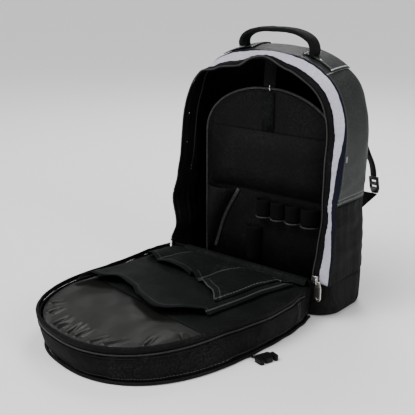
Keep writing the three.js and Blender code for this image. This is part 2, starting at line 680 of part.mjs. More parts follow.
// A point of the flap's edge moved inward, level with the floor.
function flapInset(s, level, inset, lift = 0) {
  const a = flapWall(Math.max(s - 0.01, -1), level);
  const b = flapWall(Math.min(s + 0.01, 1), level);
  const along = b.sub(a).setZ(0).normalize();
  return flapWall(s, level).add(vec(-along.y * inset, along.x * inset, lift));
}
const flapSs = [...steps(-1, -0.5, 8), ...steps(-0.5, 0.5, 22).slice(1), ...steps(0.5, 1, 8).slice(1)];
const levels = [0, 0.12, 0.4, 0.75, 1];
const puffed = (s, level) => -FLAP_PUFF * Math.sin(Math.PI * level) ** 0.8 * ease((1 - Math.abs(s)) / 0.1);
const gussetGrid = flapSs.map((s) => levels.map((level) => flapInset(s, level, puffed(s, level))));
addCloth("flap_side_gusset", "black", gussetGrid, -WALL);

// The wall beside the hinge closes the flap's box.
const hingeWallGrid = (setback) =>
  steps(WALL + SEAM_GAP * 2, FLAP_HINGE_DEPTH - PANEL_THICKNESS - SEAM_GAP * 2, 3).map((z) => {
    const side = WALL * 1.5 + SEAM_GAP * 3;
    const left = flapEdge(-1, z / FLAP_HINGE_DEPTH).v + side;
    const right = flapEdge(1, z / FLAP_HINGE_DEPTH).v - side;
    return steps(left, right, 6).map((v) => onFloor(setback, v, z));
  });
addShell("flap_hinge_wall", "black", hingeWallGrid(0.5), hingeWallGrid(0.5 + WALL));

// A plate inside the gusset. Each row runs from the left wall to the right at one share of the edge.
const sAtU = (u) => {
  const past = clamp((u - FLAP_STRAIGHT) / FLAP_ARCH_LENGTH);
  if (u < FLAP_STRAIGHT) return mix(1, 0.5, u / FLAP_STRAIGHT);
  return 0.5 * (1 - Math.asin(past ** (1 / FLAP_POWER)) / (Math.PI / 2));
};
const rightSs = flapSs.filter((s) => s > 0.04).reverse();
const clearWall = WALL + SEAM_GAP * 2;

function flapPlate(level, fromU, toU, clear, heightAt) {
  const [from, to] = [sAtU(fromU), sAtU(toU)];
  const between = rightSs.filter((s) => s < from - 0.01 && s > to + 0.01);
  return [from, ...between, to].map((s) => {
    const u = flapEdge(s, level).u;
    const [left, right] = [flapInset(-s, level, clear), flapInset(s, level, clear)];
    return steps(0, 1, 2).map((share) => left.clone().lerp(right, share).setZ(heightAt(u)));
  });
}

// The front panel lies on the floor, and piping runs round it outside the gusset.
const farU = FLAP_LENGTH - FLAP_END_CLEARANCE;
const frontPanel = (height) => flapPlate(0, 1, farU, clearWall, () => height);
addShell("flap_front_panel", "black", frontPanel(WALL), frontPanel(0));

const pipingPath = flapSs.map((s) =>
  flapInset(s, 0.09, puffed(s, 0.12) - PIPING_RADIUS - SEAM_GAP).setZ(PIPING_RADIUS + SEAM_GAP),
);
const upright = () => vec(0, 0, 1);
addSweep("flap_floor_piping", "webbing", alongPath(pipingPath, upright), polygon(PIPING_RADIUS, 6));

// The rim's lip carries the other half of the zip, and stands up from the gusset.
const lipSs = flapSs.filter((s) => s < 0.95);
const lipGrid = lipSs.map((s) =>
  [0, 0.5, 1].map((high) => flapInset(s, 1, mix(-0.5, 2.5, high), SEAM_GAP * 2 + LIP_HEIGHT * high)),
);
addCloth("flap_zip_lip", "webbing", lipGrid, LIP_THICKNESS);

// The panels that close the flap's top: a plain one by the hinge and a coated one at the far end.
const panelTop = (u) => rimHeight(u) + PANEL_CROWN * Math.sin(Math.PI * clamp(u / FLAP_LENGTH));
const panelUnder = (u) => panelTop(u) - PANEL_THICKNESS;
const clearPanel = clearWall + SEAM_GAP * 2;
function addFlapPanel(name, finish, from, to) {
  const [top, under] = [panelTop, panelUnder].map((height) => flapPlate(0.84, from, to, clearPanel, height));
  addShell(name, finish, top, under);
}
addFlapPanel("flap_inner_panel", "organiser", 1, COATED_PANEL_START - SEAM_GAP);
addFlapPanel("flap_coated_panel", "shiny", COATED_PANEL_START, farU);

// The organiser: a document pocket under a row of tool pockets, both open towards the far end.
// Mouths are given by rows of across, from -1 at the left to 1 at the right, as shares of the flap's length.
const DOCUMENT_MOUTH = [
  { at: -1, reach: 0.69, lift: 0.3 },
  { at: -0.9, reach: 0.6, lift: 1 },
  { at: -0.5, reach: 0.54, lift: 1.4 },
  { at: -0.2, reach: 0.545, lift: 0.9 },
  { at: 0.1, reach: 0.58, lift: 0.8 },
  { at: 0.5, reach: 0.6, lift: 1.1 },
  { at: 1, reach: 0.46, lift: 0.3 },
];
const TOOL_MOUTH = [
  { at: -1, reach: 0.27 },
  { at: -0.4, reach: 0.3 },
  { at: 0.05, reach: 0.285 },
  { at: 0.35, reach: 0.31 },
  { at: 0.75, reach: 0.35 },
  { at: 1, reach: 0.4 },
];
const POCKET_LEFT = -148;
const POCKET_RIGHT = 118;
const POCKET_START = 9;
const POCKET_SIDE_RUN = 7;
const POCKET_HEM_RUN = 26;
const POCKET_CELLS = [-0.93, -0.62, 0.06, 0.3, 0.93];

// Height of the document pocket's cloth over the panel, at a place on the flap.
const POCKET_MIDDLE = (POCKET_LEFT + POCKET_RIGHT) / 2;
const POCKET_HALF = (POCKET_RIGHT - POCKET_LEFT) / 2;
const mouthAt = (mouth, v) => FLAP_LENGTH * read(mouth, (v - POCKET_MIDDLE) / POCKET_HALF, "reach");

function documentRise(u, v) {
  const across = (v - POCKET_MIDDLE) / POCKET_HALF;
  const side = ease((POCKET_HALF * (1 - Math.abs(across))) / POCKET_SIDE_RUN);
  const hem = ease((u - POCKET_START) / POCKET_HEM_RUN);
  const gape = ease(u / mouthAt(DOCUMENT_MOUTH, v) / 0.3 - 2.3) * read(DOCUMENT_MOUTH, across, "lift");
  return DOCUMENT_POCKET_RISE * Math.min(side, hem) * (1 + 0.5 * gape);
}

// Height of a tool pocket's cloth over the document pocket: each cell bulges between its seams.
function toolRise(u, v) {
  const across = (v - POCKET_MIDDLE) / POCKET_HALF;
  const i = Math.max(POCKET_CELLS.findIndex((edge) => across <= edge + 1e-6), 1);
  const [a, b] = [POCKET_CELLS[i - 1], POCKET_CELLS[i]];
  const swell = Math.sin(Math.PI * clamp((across - a) / (b - a))) ** 0.7;
  const along = u / mouthAt(TOOL_MOUTH, v);
  return TOOL_POCKET_RISE * swell * ease((along - 0.08) / 0.35) * mix(0.55, 1, along);
}

function pocketGrid(mouth, from, to, columns, rows, riseAt) {
  return steps(from, to, columns).map((v) =>
    steps(POCKET_START, mouthAt(mouth, v), rows).map((u) => onFloor(u, v, panelTop(u) + riseAt(u, v))),
  );
}
const inPocket = (across) => POCKET_MIDDLE + POCKET_HALF * across;
const overPanel = (u, v) => SEAM_GAP + documentRise(u, v);
const documentGrid = pocketGrid(DOCUMENT_MOUTH, POCKET_LEFT, POCKET_RIGHT, 20, 7, overPanel);
addCloth("document_pocket", "organiser", documentGrid, -POCKET_CLOTH);

const [cellsFrom, cellsTo] = [POCKET_CELLS[0], POCKET_CELLS.at(-1)];
const overDocument = (u, v) => overPanel(u, v) + POCKET_CLOTH + SEAM_GAP * 1.8 + toolRise(u, v);
const toolPocketGrid = pocketGrid(TOOL_MOUTH, inPocket(cellsFrom), inPocket(cellsTo), 30, 5, overDocument);
addCloth("tool_pocket_row", "organiser", toolPocketGrid, -POCKET_CLOTH);

// A narrow binding finishes each mouth.
function addMouthBinding(name, finish, grid, from, to) {
  const edge = grid.slice(from, to).map((row) => row.at(-1));
  const radius = BINDING_RADIUS * 0.6;
  const path = edge.map((end, i) => {
    const along = edge[Math.min(i + 1, edge.length - 1)].clone().sub(edge[Math.max(i - 1, 0)]);
    const out = along.cross(vec(0, 0, 1)).setZ(0).normalize();
    return end.clone().addScaledVector(out, radius + SEAM_GAP).add(vec(0, 0, POCKET_CLOTH / 2));
  });
  addSweep(name, finish, alongPath(path, () => vec(0, 0, 1)), polygon(radius, 5));
}
addMouthBinding("document_pocket_binding", "webbing", documentGrid, 1, -1);
addMouthBinding("rule_pocket_binding", "trim", toolPocketGrid, 20, -1);

// The hinge strip carries the flap's panel over the gap and down inside the boot's front wall.
// Its rows are shares of how far it reaches back from the hinge and of how far it drops inside the boot.
const HINGE_STRIP = [
  { back: 1, rise: -1 },
  { back: 0.6, rise: -0.25 },
  { back: 0.333, rise: 0 },
  { back: 0, rise: 0 },
  { back: -0.15, rise: -0.55 },
];
const stripGrid = HINGE_STRIP.map(({ back, rise }) =>
  steps(-0.86, 0.76, 6).map((share) => {
    const z = BOOT_HEIGHT + SEAM_GAP + HINGE_STRIP_DROP * rise;
    return vec(share * HALF_WIDTH, HINGE_Y + HINGE_STRIP_REACH * back, z);
  }),
);
addCloth("hinge_strip", "organiser", stripGrid, POCKET_CLOTH);

// A strap from the flap's side lies on the floor, with half of a side-release buckle on its end.
const strapS = 1 - 0.5 * (FLAP_STRAP_PLACE / FLAP_STRAIGHT);
const strapRoot = flapInset(strapS, 0, -(FLAP_PUFF + 2 * PIPING_RADIUS + SEAM_GAP * 3)).setZ(0);
const strapOut = vec(Math.cos(TURN), -Math.sin(TURN), 0).applyAxisAngle(vec(0, 0, 1), -0.12);
const strapLine = steps(0, 1, 6).map((share) =>
  strapRoot
    .clone()
    .addScaledVector(strapOut, FLAP_STRAP_LENGTH * share)
    .setZ(SEAM_GAP + WEBBING_THICKNESS / 2 + FLAP_STRAP_LIFT * (Math.sin(Math.PI * share) + share)),
);
const flapStrapWidth = BUCKLE_WIDTH - BUCKLE_MARGIN * 2;
const acrossStrap = vec(-strapOut.y, strapOut.x, 0);
const strapStations = alongPath(strapLine, () => acrossStrap);
addSweep("flap_strap", "webbing", strapStations, band(flapStrapWidth, WEBBING_THICKNESS));

// The buckle half: a bar frame that holds the strap, two spring prongs and a guide between them.
// Rows run along one half of its outline, as shares of its length and of its half-width.
const BUCKLE_OUTLINE = [
  { along: 0, out: 0.94 },
  { along: 0.06, out: 1 },
  { along: 0.5, out: 1 },
  { along: 0.84, out: 0.97 },
  { along: 0.98, out: 0.84 },
  { along: 1, out: 0.68 },
  { along: 0.9, out: 0.56 },
  { along: 0.45, out: 0.58 },
  { along: 0.45, out: 0.42 },
  { along: 0.86, out: 0.38 },
  { along: 0.94, out: 0.26 },
];
const buckleSide = BUCKLE_OUTLINE.map(({ along, out }) => [along * BUCKLE_LENGTH, (out * BUCKLE_WIDTH) / 2]);
const buckleContour = [...buckleSide, ...buckleSide.map(([x, y]) => [x, -y]).reverse()];
const strapEnd = strapLine.at(-1).clone().addScaledVector(strapOut, SEAM_GAP).setZ(SEAM_GAP);
const bucklePlacement = new THREE.Matrix4().makeBasis(strapOut, acrossStrap, vec(0, 0, 1));
bucklePlacement.setPosition(strapEnd);
addPlate("flap_buckle", "plastic", buckleContour, [], BUCKLE_THICKNESS, bucklePlacement);

// The arched board stands across the bag, with a bound edge and webbing down its middle.
const BOARD_HALF = BOARD_WIDTH / 2;
const boardHalfAt = (z) => {
  const up = clamp((z - (BOARD_TOP - BOARD_ARCH_RISE)) / BOARD_ARCH_RISE);
  return BOARD_HALF * Math.sqrt(1 - up ** 2.1);
};
const archHeight = (degrees) =>
  BOARD_TOP - BOARD_ARCH_RISE * (1 - Math.sin(THREE.MathUtils.degToRad(degrees)) * 0.992);
const boardHeights = [
  ...steps(BOARD_FOOT, BOARD_TOP - BOARD_ARCH_RISE, 3),
  ...steps(0.2, 1, 6).map((share) => archHeight(share * 90)),
];
const boardGrid = (y) =>
  boardHeights.map((z) => steps(-1, 1, 6).map((share) => vec(share * boardHalfAt(z), y, z)));
const BOARD_FRONT = BOARD_PLACE_Y - BOARD_THICKNESS / 2;
const BOARD_BACK = BOARD_PLACE_Y + BOARD_THICKNESS / 2;
addShell("divider_board", "organiser", boardGrid(BOARD_FRONT), boardGrid(BOARD_BACK));
const boardEdge = [
  ...steps(BOARD_FOOT, BOARD_TOP - BOARD_ARCH_RISE, 2).map((z) => vec(BOARD_HALF, BOARD_PLACE_Y, z)),
  ...steps(0, 90, 12)
    .slice(1)
    .map((angle) => vec(boardHalfAt(archHeight(angle)), BOARD_PLACE_Y, archHeight(angle))),
];
const boundEdge = [...boardEdge, ...boardEdge.slice(0, -1).reverse().map((p) => vec(-p.x, p.y, p.z))];
const bindingPath = boundEdge.map((p, i) => {
  const along = boundEdge[Math.min(i + 1, boundEdge.length - 1)].clone().sub(boundEdge[Math.max(i - 1, 0)]);
  along.normalize();
  return p.clone().add(vec(along.z, 0, -along.x).multiplyScalar(BINDING_RADIUS + SEAM_GAP));
});
addSweep("board_binding", "trim", alongPath(bindingPath, () => vec(0, 1, 0)), polygon(BINDING_RADIUS, 6));

// The tool panel is a second layer on the board, whose top edge makes one long seam.
const panelHeights = steps(TOOL_PANEL_FOOT, TOOL_PANEL_TOP, 3);
const toolPanelHalf = (z) => boardHalfAt(z) - TOOL_PANEL_INSET;
const toolPanelFace = (y) =>
  panelHeights.map((z) => steps(-1, 1, 4).map((share) => vec(share * toolPanelHalf(z), y, z)));
const PANEL_BACK = BOARD_FRONT - SEAM_GAP;
const PANEL_FACE = PANEL_BACK - TOOL_PANEL_THICKNESS;
addShell("tool_panel", "organiser", toolPanelFace(PANEL_FACE), toolPanelFace(PANEL_BACK));
const webbingFrom = TOOL_PANEL_TOP + SEAM_GAP;
const webbingTo = BOARD_TOP - WEBBING_THICKNESS * 2;
const webbingBox = new THREE.BoxGeometry(HANGER_WIDTH, WEBBING_THICKNESS, webbingTo - webbingFrom);
webbingBox.translate(0, BOARD_FRONT - SEAM_GAP - WEBBING_THICKNESS / 2, (webbingFrom + webbingTo) / 2);
addMesh("board_webbing", "webbing", webbingBox);

// The hanger drops from the crown's lining to the board's top edge and holds it by a small hook.
const hangerTop = bodySkin(0.001, handleDepth).z - WALL - SEAM_GAP * 2.2;
const hangerLine = smoothPath(
  [
    vec(0, handleY, hangerTop),
    vec(0, mix(handleY, BOARD_PLACE_Y, 0.6), mix(hangerTop, BOARD_TOP, 0.45)),
    vec(0, BOARD_PLACE_Y, BOARD_TOP + BINDING_RADIUS * 2),
  ],
  6,
);
const acrossBag = () => vec(1, 0, 0);
addSweep("board_hanger", "webbing", alongPath(hangerLine, acrossBag), band(HANGER_WIDTH, WEBBING_THICKNESS));

// Bulging loops of webbing in one band hold the tools upright. A table gives each loop's share of the width.
const LOOP_ENDS = [-0.13, 0.1, 0.33, 0.56, 0.82];
const loopX = (share) => share * BOARD_HALF;
const loopSteps = LOOP_ENDS.slice(0, -1).flatMap((from, i) =>
  steps(from, LOOP_ENDS[i + 1], 8).slice(0, 8).map((share) => ({ share, from, to: LOOP_ENDS[i + 1] })),
);
loopSteps.push({ share: LOOP_ENDS.at(-1), from: LOOP_ENDS.at(-2), to: LOOP_ENDS.at(-1) });
const loopGrid = loopSteps.map(({ share, from, to }) => {
  const out = Math.sin(Math.PI * clamp((share - from) / (to - from))) ** 0.6;
  const y = BOARD_FRONT - SEAM_GAP - LOOP_BULGE * out;
  return [0, 0.5, 1].map((high) => vec(loopX(share), y, LOOP_BAND_FOOT + LOOP_BAND_HEIGHT * high));
});
addCloth("tool_loop_band", "lining", loopGrid, LOOP_CLOTH);
const underLoop = vec(0, -LOOP_CLOTH * 0.85, -LOOP_BINDING_RADIUS - SEAM_GAP);
const loopFoot = loopGrid.map(([low]) => low.clone().add(underLoop));
const loopBinding = alongPath(loopFoot, () => vec(0, 0, 1));
addSweep("tool_loop_binding", "trim", loopBinding, polygon(LOOP_BINDING_RADIUS, 5));

// A pocket of cloth that bulges from the board: rows of height share, with its left and right edges.
function addBulgingPocket(name, finish, rows, bulge, y) {
  const grid = rows.map(({ high, left, right, out }) =>
    steps(0, 1, 10).map((across) => {
      const swell = Math.sin(Math.PI * across) ** 0.6;
      return vec(mix(left, right, across), y - SEAM_GAP - bulge * out * swell, high);
    }),
  );
  addCloth(name, finish, grid, -POCKET_CLOTH);
}
const pocketRise = (share) => mix(SIDE_POCKET_FOOT, SIDE_POCKET_TOP, share);
const sidePocketRows = [
  { high: pocketRise(0), left: -0.97, right: -0.9, out: 0.35 },
  { high: pocketRise(0.2), left: -0.97, right: -0.84, out: 0.6 },
  { high: pocketRise(0.45), left: -0.97, right: -0.77, out: 0.8 },
  { high: pocketRise(0.7), left: -0.97, right: -0.66, out: 0.95 },
  { high: pocketRise(1), left: -0.97, right: -0.5, out: 1 },
].map((row) => ({ ...row, left: row.left * BOARD_HALF, right: row.right * BOARD_HALF }));
addBulgingPocket("side_pocket", "organiser", sidePocketRows, SIDE_POCKET_BULGE, BOARD_FRONT);

// A zip's band closes the side pocket's right edge.
const zipBandCentre = ZIP_BAND_WIDTH * 0.6 + POCKET_CLOTH + SEAM_GAP;
const zipCurve = sidePocketRows.map(({ high, right }) =>
  vec(right + zipBandCentre, BOARD_FRONT - SEAM_GAP - POCKET_CLOTH / 2, high),
);
const zipCurvePoints = smoothPath(zipCurve, 12);
const zipBandSection = band(ZIP_BAND_WIDTH, POCKET_CLOTH);
addSweep("pocket_zip_band", "trim", alongPath(zipCurvePoints, () => vec(1, 0, 0)), zipBandSection);

// A small open pouch stands lower down, in the middle of the board.
const pouchRise = (share) => mix(POUCH_FOOT, POUCH_TOP, share);
const pouchWall = [
  { high: pouchRise(0), left: -0.28, right: -0.08 },
  { high: pouchRise(0.6), left: -0.29, right: -0.07 },
  { high: pouchRise(1), left: -0.3, right: -0.05 },
];
const pouchGrid = pouchWall.map(({ high, left, right }) =>
  steps(0, 1, 8).map((across) => {
    const out = Math.sin(Math.PI * across) ** 0.6;
    return vec(mix(left, right, across) * BOARD_HALF, BOARD_FRONT - SEAM_GAP - POUCH_DEPTH * out, high);
  }),
);
addCloth("small_pouch", "lining", pouchGrid, -POCKET_CLOTH);

// The zip's slider rides at the opening's lower right corner, and its pull hangs from a bail on it.
const zipEnd = edgePoint(1, TAPE_WIDTH + ZIP_TAPE_WIDTH * 0.2);
const sliderFace = zipEnd.y - ZIP_TAPE_THICKNESS - SEAM_GAP;
const sliderBox = new THREE.BoxGeometry(SLIDER_WIDTH, SLIDER_THICKNESS, SLIDER_LENGTH);
sliderBox.translate(zipEnd.x, sliderFace - SLIDER_THICKNESS / 2, BOOT_HEIGHT + SLIDER_LENGTH / 2 + 1);
addMesh("zip_slider", "metal", sliderBox);
const pullTop = BOOT_HEIGHT + 1 + SLIDER_LENGTH * 0.45;
const pullHalf = PULL_WIDTH / 2;
const pullContour = [
  [-pullHalf * 0.6, 0],
  [pullHalf * 0.6, 0],
  [pullHalf, -PULL_LENGTH * 0.35],
  [pullHalf, -PULL_LENGTH * 0.88],
  [pullHalf * 0.55, -PULL_LENGTH],
  [-pullHalf * 0.55, -PULL_LENGTH],
  [-pullHalf, -PULL_LENGTH * 0.88],
  [-pullHalf, -PULL_LENGTH * 0.35],
];
const pullHole = polygon(pullHalf * 0.3, 10).map(([x, y]) => [x, y - PULL_LENGTH * 0.85]);
const pullFace = sliderFace - SLIDER_THICKNESS - PULL_CLEARANCE;
const pullPlacement = new THREE.Matrix4().makeRotationX(Math.PI / 2);
pullPlacement.setPosition(zipEnd.x + PULL_WIDTH * 0.64, pullFace, pullTop);
addPlate("zip_pull", "metal", pullContour, [pullHole], PULL_THICKNESS, pullPlacement);

export default backpack;
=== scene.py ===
import bpy
import bmesh
import math
from mathutils import Matrix, Vector, noise


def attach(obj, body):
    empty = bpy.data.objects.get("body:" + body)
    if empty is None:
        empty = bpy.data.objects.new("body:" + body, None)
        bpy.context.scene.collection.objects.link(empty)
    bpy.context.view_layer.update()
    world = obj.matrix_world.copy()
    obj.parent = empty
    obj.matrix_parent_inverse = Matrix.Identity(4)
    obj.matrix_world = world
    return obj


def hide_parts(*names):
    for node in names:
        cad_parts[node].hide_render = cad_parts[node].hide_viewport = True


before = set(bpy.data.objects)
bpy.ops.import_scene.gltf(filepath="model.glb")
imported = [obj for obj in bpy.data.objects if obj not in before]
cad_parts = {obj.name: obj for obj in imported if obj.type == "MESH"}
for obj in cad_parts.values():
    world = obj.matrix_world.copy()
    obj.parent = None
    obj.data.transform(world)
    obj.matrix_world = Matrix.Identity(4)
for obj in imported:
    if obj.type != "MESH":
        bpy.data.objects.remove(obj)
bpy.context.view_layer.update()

# The upper cover: one length of charcoal coated cloth that runs over the arch from side seam to side seam.
# It is lined in black, turned round the back edge, and bellied out a little by the foam inside it.
BAG_WIDTH = 0.350
BOOT_HEIGHT = 0.067
BOOT_DEPTH = 0.141
ARCH_RISE = 0.147
STRAIGHT = 0.237
ARCH_ROUNDNESS = 2.4
FRONT_LEAN = 0.12
BACK_EDGE_RADIUS = 0.044
SIDE_SEAM_HEIGHT = 0.205
CLOTH = 0.003
HALF = BAG_WIDTH / 2
SHOULDER = HALF + 0.005
FRONT_Y = -BOOT_DEPTH / 2
BACK_Y = BOOT_DEPTH / 2
BODY_TOP = BOOT_HEIGHT + STRAIGHT + ARCH_RISE
ARCH_SHARE = 0.55
FLAT_SHARE = 0.5
EDGE_WIDTH = 0.035


def table(columns, *rows):
    """Rows of named values, in order of their first column."""
    return [dict(zip(columns, row)) for row in rows]


SAG = table(
    ("at", "left", "right", "taper"),
    (0, 0, 0, 0),
    (0.09, 0.5, 0.05, 0),
    (0.155, 0.75, 0.05, 0),
    (0.235, 0, 0.05, 0.1),
    (0.35, 1, 0, 0.3),
    (0.455, 0.45, -0.15, 0.55),
    (0.55, 0.1, 0, 0.5),
    (0.8, 0, 0, 0.5),
    (0.93, 0, 0, 0),
)
EDGE = table(
    ("at", "recess", "tilt"),
    (-1, 0.9, 90),
    (-0.45, 0.9, 90),
    (-0.3, 0.55, 75),
    (-0.19, 0.15, 48),
    (-0.08, 0, 36),
    (0.02, 0, 74),
    (0.11, 0, 48),
    (0.22, 0, 32),
    (0.4, 0, 20),
    (0.58, 0, 8),
    (0.78, 0, -20),
    (0.9, 0, -10),
    (0.97, 0, 0),
    (1, 0, 0),
)


def mix(a, b, share):
    return a + (b - a) * share


def clamp(value):
    return min(max(value, 0.0), 1.0)


def ease(value):
    s = clamp(value)
    return s * s * (3 - 2 * s)


def read(rows, at, column):
    """One column of a table, eased between its rows."""
    if at <= rows[0]["at"]:
        return rows[0][column]
    for a, b in zip(rows, rows[1:]):
        if at <= b["at"]:
            return mix(a[column], b[column], ease((at - a["at"]) / (b["at"] - a["at"])))
    return rows[-1][column]


def rumple(point, size, depth, seed=0.0):
    """A soft unevenness of cloth: size is how far apart its swells are, and depth how far it rises or sinks."""
    return depth * noise.noise(Vector((point.x / size, point.y / size + seed, point.z / size)))


def hump(away, width):
    """1 in the middle, and falling smoothly to nothing a few widths away."""
    return math.exp(-((away / width) ** 2))


def outline(t):
    """The body's front outline: t is -1 low on the left, 0 at the top and 1 low on the right."""
    side = -1 if t < 0 else 1
    away = abs(t)
    power = 2 / ARCH_ROUNDNESS
    if away <= ARCH_SHARE:
        angle = (1 - away / ARCH_SHARE) * math.pi / 2
        x = side * SHOULDER * max(math.cos(angle), 0) ** power
        return Vector((x, 0, BOOT_HEIGHT + STRAIGHT + ARCH_RISE * math.sin(angle) ** power))
    down = (away - ARCH_SHARE) / (1 - ARCH_SHARE)
    return Vector((side * mix(SHOULDER, HALF, down), 0, BOOT_HEIGHT + STRAIGHT * (1 - down)))


def outward_at(t):
    along = (outline(min(t + 0.01, 1)) - outline(max(t - 0.01, -1))).normalized()
    return Vector((-along.z, 0, along.x))


def t_at_height(z, side):
    return side * mix(ARCH_SHARE, 1, 1 - (z - BOOT_HEIGHT) / STRAIGHT)


def front_at(z):
    return FRONT_Y + FRONT_LEAN * max(z - BOOT_HEIGHT, 0)


def settle(point):
    high = point.z / BODY_TOP
    rearward = clamp((point.y - FRONT_Y) / BOOT_DEPTH)
    sideways = min(1, abs(point.x) / (HALF - BACK_EDGE_RADIUS))
    side = -1 if point.x < 0 else 1
    swell = read(SAG, high, "left" if side < 0 else "right") * mix(1, 0.35, rearward)
    taper = read(SAG, high, "taper") * rearward
    point.x += side * sideways * 0.017 * (swell - taper)
    return point


def body_skin(t, depth, lift=0.0):
    """A point of the outer cloth: depth runs from 0 at the front edge, round the back edge, to 1."""
    point = outline(t)
    outward = outward_at(t)
    front = front_at(point.z) + EDGE_WIDTH * read(EDGE, t, "recess")
    turn = clamp((depth - FLAT_SHARE) / (1 - FLAT_SHARE)) * math.pi / 2
    run = BACK_Y - BACK_EDGE_RADIUS - front
    puff = mix(0.004, 0.008, outward.z**2) * math.sin(math.pi * clamp(depth))
    above = ease((point.z - BOOT_HEIGHT) / (SIDE_SEAM_HEIGHT - BOOT_HEIGHT))
    inward = BACK_EDGE_RADIUS * (1 - math.cos(turn)) - puff * above - lift * math.cos(turn)
    point -= outward * inward
    point.y = front + run * clamp(depth / FLAT_SHARE) + (BACK_EDGE_RADIUS + lift) * math.sin(turn)
    if t < 0:
        reach = (SIDE_SEAM_HEIGHT - BOOT_HEIGHT) * 0.55
        low = ease(1 - abs(point.z - BOOT_HEIGHT - reach) / reach)
        early = 1 - ease((depth - FLAT_SHARE * 0.7) / (FLAT_SHARE * 0.3))
        point.x += 0.002 * low * early * math.sin(2 * math.pi * (point.y - front) / 0.018)
    return settle(point)


def shared_group(name, inputs, outputs):
    """A shader group with named sockets for what it is given and what it puts out."""
    tree = bpy.data.node_groups.new(name, "ShaderNodeTree")
    for label, kind, value in inputs:
        made = tree.interface.new_socket(name=label, in_out="INPUT", socket_type=f"NodeSocket{kind}")
        if value is not None:
            made.default_value = value
    for label, kind in outputs:
        tree.interface.new_socket(name=label, in_out="OUTPUT", socket_type=f"NodeSocket{kind}")
    return tree, tree.nodes.new("NodeGroupInput").outputs, tree.nodes.new("NodeGroupOutput").inputs


def joined(tree, kind, *inputs, **settings):
    """A node with its settings, and its inputs linked or set in order."""
    node = tree.nodes.new(kind)
    for key, value in settings.items():
        setattr(node, key, value)
    for socket, given in zip(node.inputs, inputs):
        if isinstance(given, bpy.types.NodeSocket):
            tree.links.new(given, socket)
        elif given is not None:
            socket.default_value = given
    return node


def calc(tree, operation, *inputs):
    """The value that a maths node puts out."""
    return joined(tree, "ShaderNodeMath", *inputs, operation=operation).outputs[0]


def placed(tree, group, **values):
    """A shared group, placed in a material with its own values."""
    node = tree.nodes.new("ShaderNodeGroup")
    node.node_tree = group
    for name, value in values.items():
        node.inputs[name].default_value = value
    return node


def blended(tree, share, low, high):
    """The colour between low and high, by share. Either may be a colour or another node's output."""
    node = tree.nodes.new("ShaderNodeMix")
    node.data_type = "RGBA"
    tree.links.new(share, node.inputs[0])
    for socket, given in ((node.inputs[6], low), (node.inputs[7], high)):
        if isinstance(given, bpy.types.NodeSocket):
            tree.links.new(given, socket)
        else:
            socket.default_value = (*given, 1)
    return node.outputs[2]


def cloudy(tree, place, scale, detail):
    """A noise with this many swells to the metre."""
    node = tree.nodes.new("ShaderNodeTexNoise")
    node.inputs["Scale"].default_value = scale
    node.inputs["Detail"].default_value = detail
    tree.links.new(place, node.inputs["Vector"])
    return node


def new_finish(name):
    """An empty material, with its tree, its shader and its coordinates."""
    material = bpy.data.materials.new(name)
    material.use_nodes = True
    tree = material.node_tree
    return material, tree, tree.nodes["Principled BSDF"], tree.nodes.new("ShaderNodeTexCoord")


def weave_group():
    """Over-and-under threads on a map in metres. Height is the thread's relief."""
    inputs = [("Vector", "Vector", None), ("Pitch", "Float", 0.001)]
    tree, given, out = shared_group("woven threads", inputs, [("Height", "Float")])
    split = joined(tree, "ShaderNodeSeparateXYZ", given["Vector"])
    turns = calc(tree, "DIVIDE", math.pi, given["Pitch"])
    waves = [calc(tree, "SINE", calc(tree, "MULTIPLY", split.outputs[axis], turns)) for axis in ("X", "Y")]
    over = calc(tree, "GREATER_THAN", calc(tree, "MULTIPLY", *waves), 0.0)
    blend = tree.nodes.new("ShaderNodeMix")
    tree.links.new(over, blend.inputs[0])
    for socket, wave in zip(blend.inputs[2:4], waves):
        tree.links.new(calc(tree, "ABSOLUTE", wave), socket)
    tree.links.new(blend.outputs[0], out["Height"])
    return tree


def wear_and_glint_group():
    """Uneven tone of used cloth: a pale cast in broad patches, and within them flecks that are painted glints of
    threads catching the light.
    """
    inputs = [
        ("Vector", "Vector", None),
        ("Color", "Color", (0.02, 0.02, 0.02, 1)),
        ("Pale", "Color", (0.1, 0.1, 0.1, 1)),
        ("Amount", "Float", 0.3),
        ("Roughness", "Float", 0.7),
    ]
    tree, given, out = shared_group("cloth tone", inputs, [("Color", "Color"), ("Roughness", "Float")])
    broad = cloudy(tree, given["Vector"], 16, 4)
    fine = cloudy(tree, given["Vector"], 330, 3)
    shaped = joined(tree, "ShaderNodeMapRange", broad.outputs[0], 0.38, 0.7, 0.2, 1.0)
    # The fine specks are painted glints of threads catching the light; the broad patches are a pale cast of wear.
    specks = joined(tree, "ShaderNodeMapRange", fine.outputs[0], 0.42, 0.7, 0.0, 1.0)
    both = calc(tree, "MULTIPLY", shaped.outputs[0], specks.outputs[0])
    share = calc(tree, "MULTIPLY", both, given["Amount"])
    tree.links.new(blended(tree, share, given["Color"], given["Pale"]), out["Color"])
    shift = calc(tree, "MULTIPLY_ADD", broad.outputs[0], 0.16, -0.08)
    tree.links.new(calc(tree, "ADD", given["Roughness"], shift), out["Roughness"])
    return tree


STITCH_LENGTH = 0.0046
THREAD_HALF = 0.0005


def stitch_group():
    """Two rows of stitches, Gap apart, that start at Place and run along the other way of the map."""
    inputs = [(label, "Float", 0.0) for label in ("Across", "Along", "Place", "Gap")]
    tree, given, out = shared_group("stitch rows", inputs, [("Mask", "Float")])
    half = calc(tree, "MULTIPLY", given["Gap"], 0.5)
    away = calc(tree, "SUBTRACT", given["Across"], given["Place"])
    size = calc(tree, "ABSOLUTE", calc(tree, "SUBTRACT", away, half))
    row = calc(tree, "COMPARE", size, half, THREAD_HALF)
    swing = calc(tree, "SINE", calc(tree, "MULTIPLY", given["Along"], 2 * math.pi / STITCH_LENGTH))
    dash = calc(tree, "GREATER_THAN", swing, -0.45)
    tree.links.new(calc(tree, "MULTIPLY", row, dash), out["Mask"])
    return tree


WEAVE = weave_group()
TONE = wear_and_glint_group()
STITCH = stitch_group()


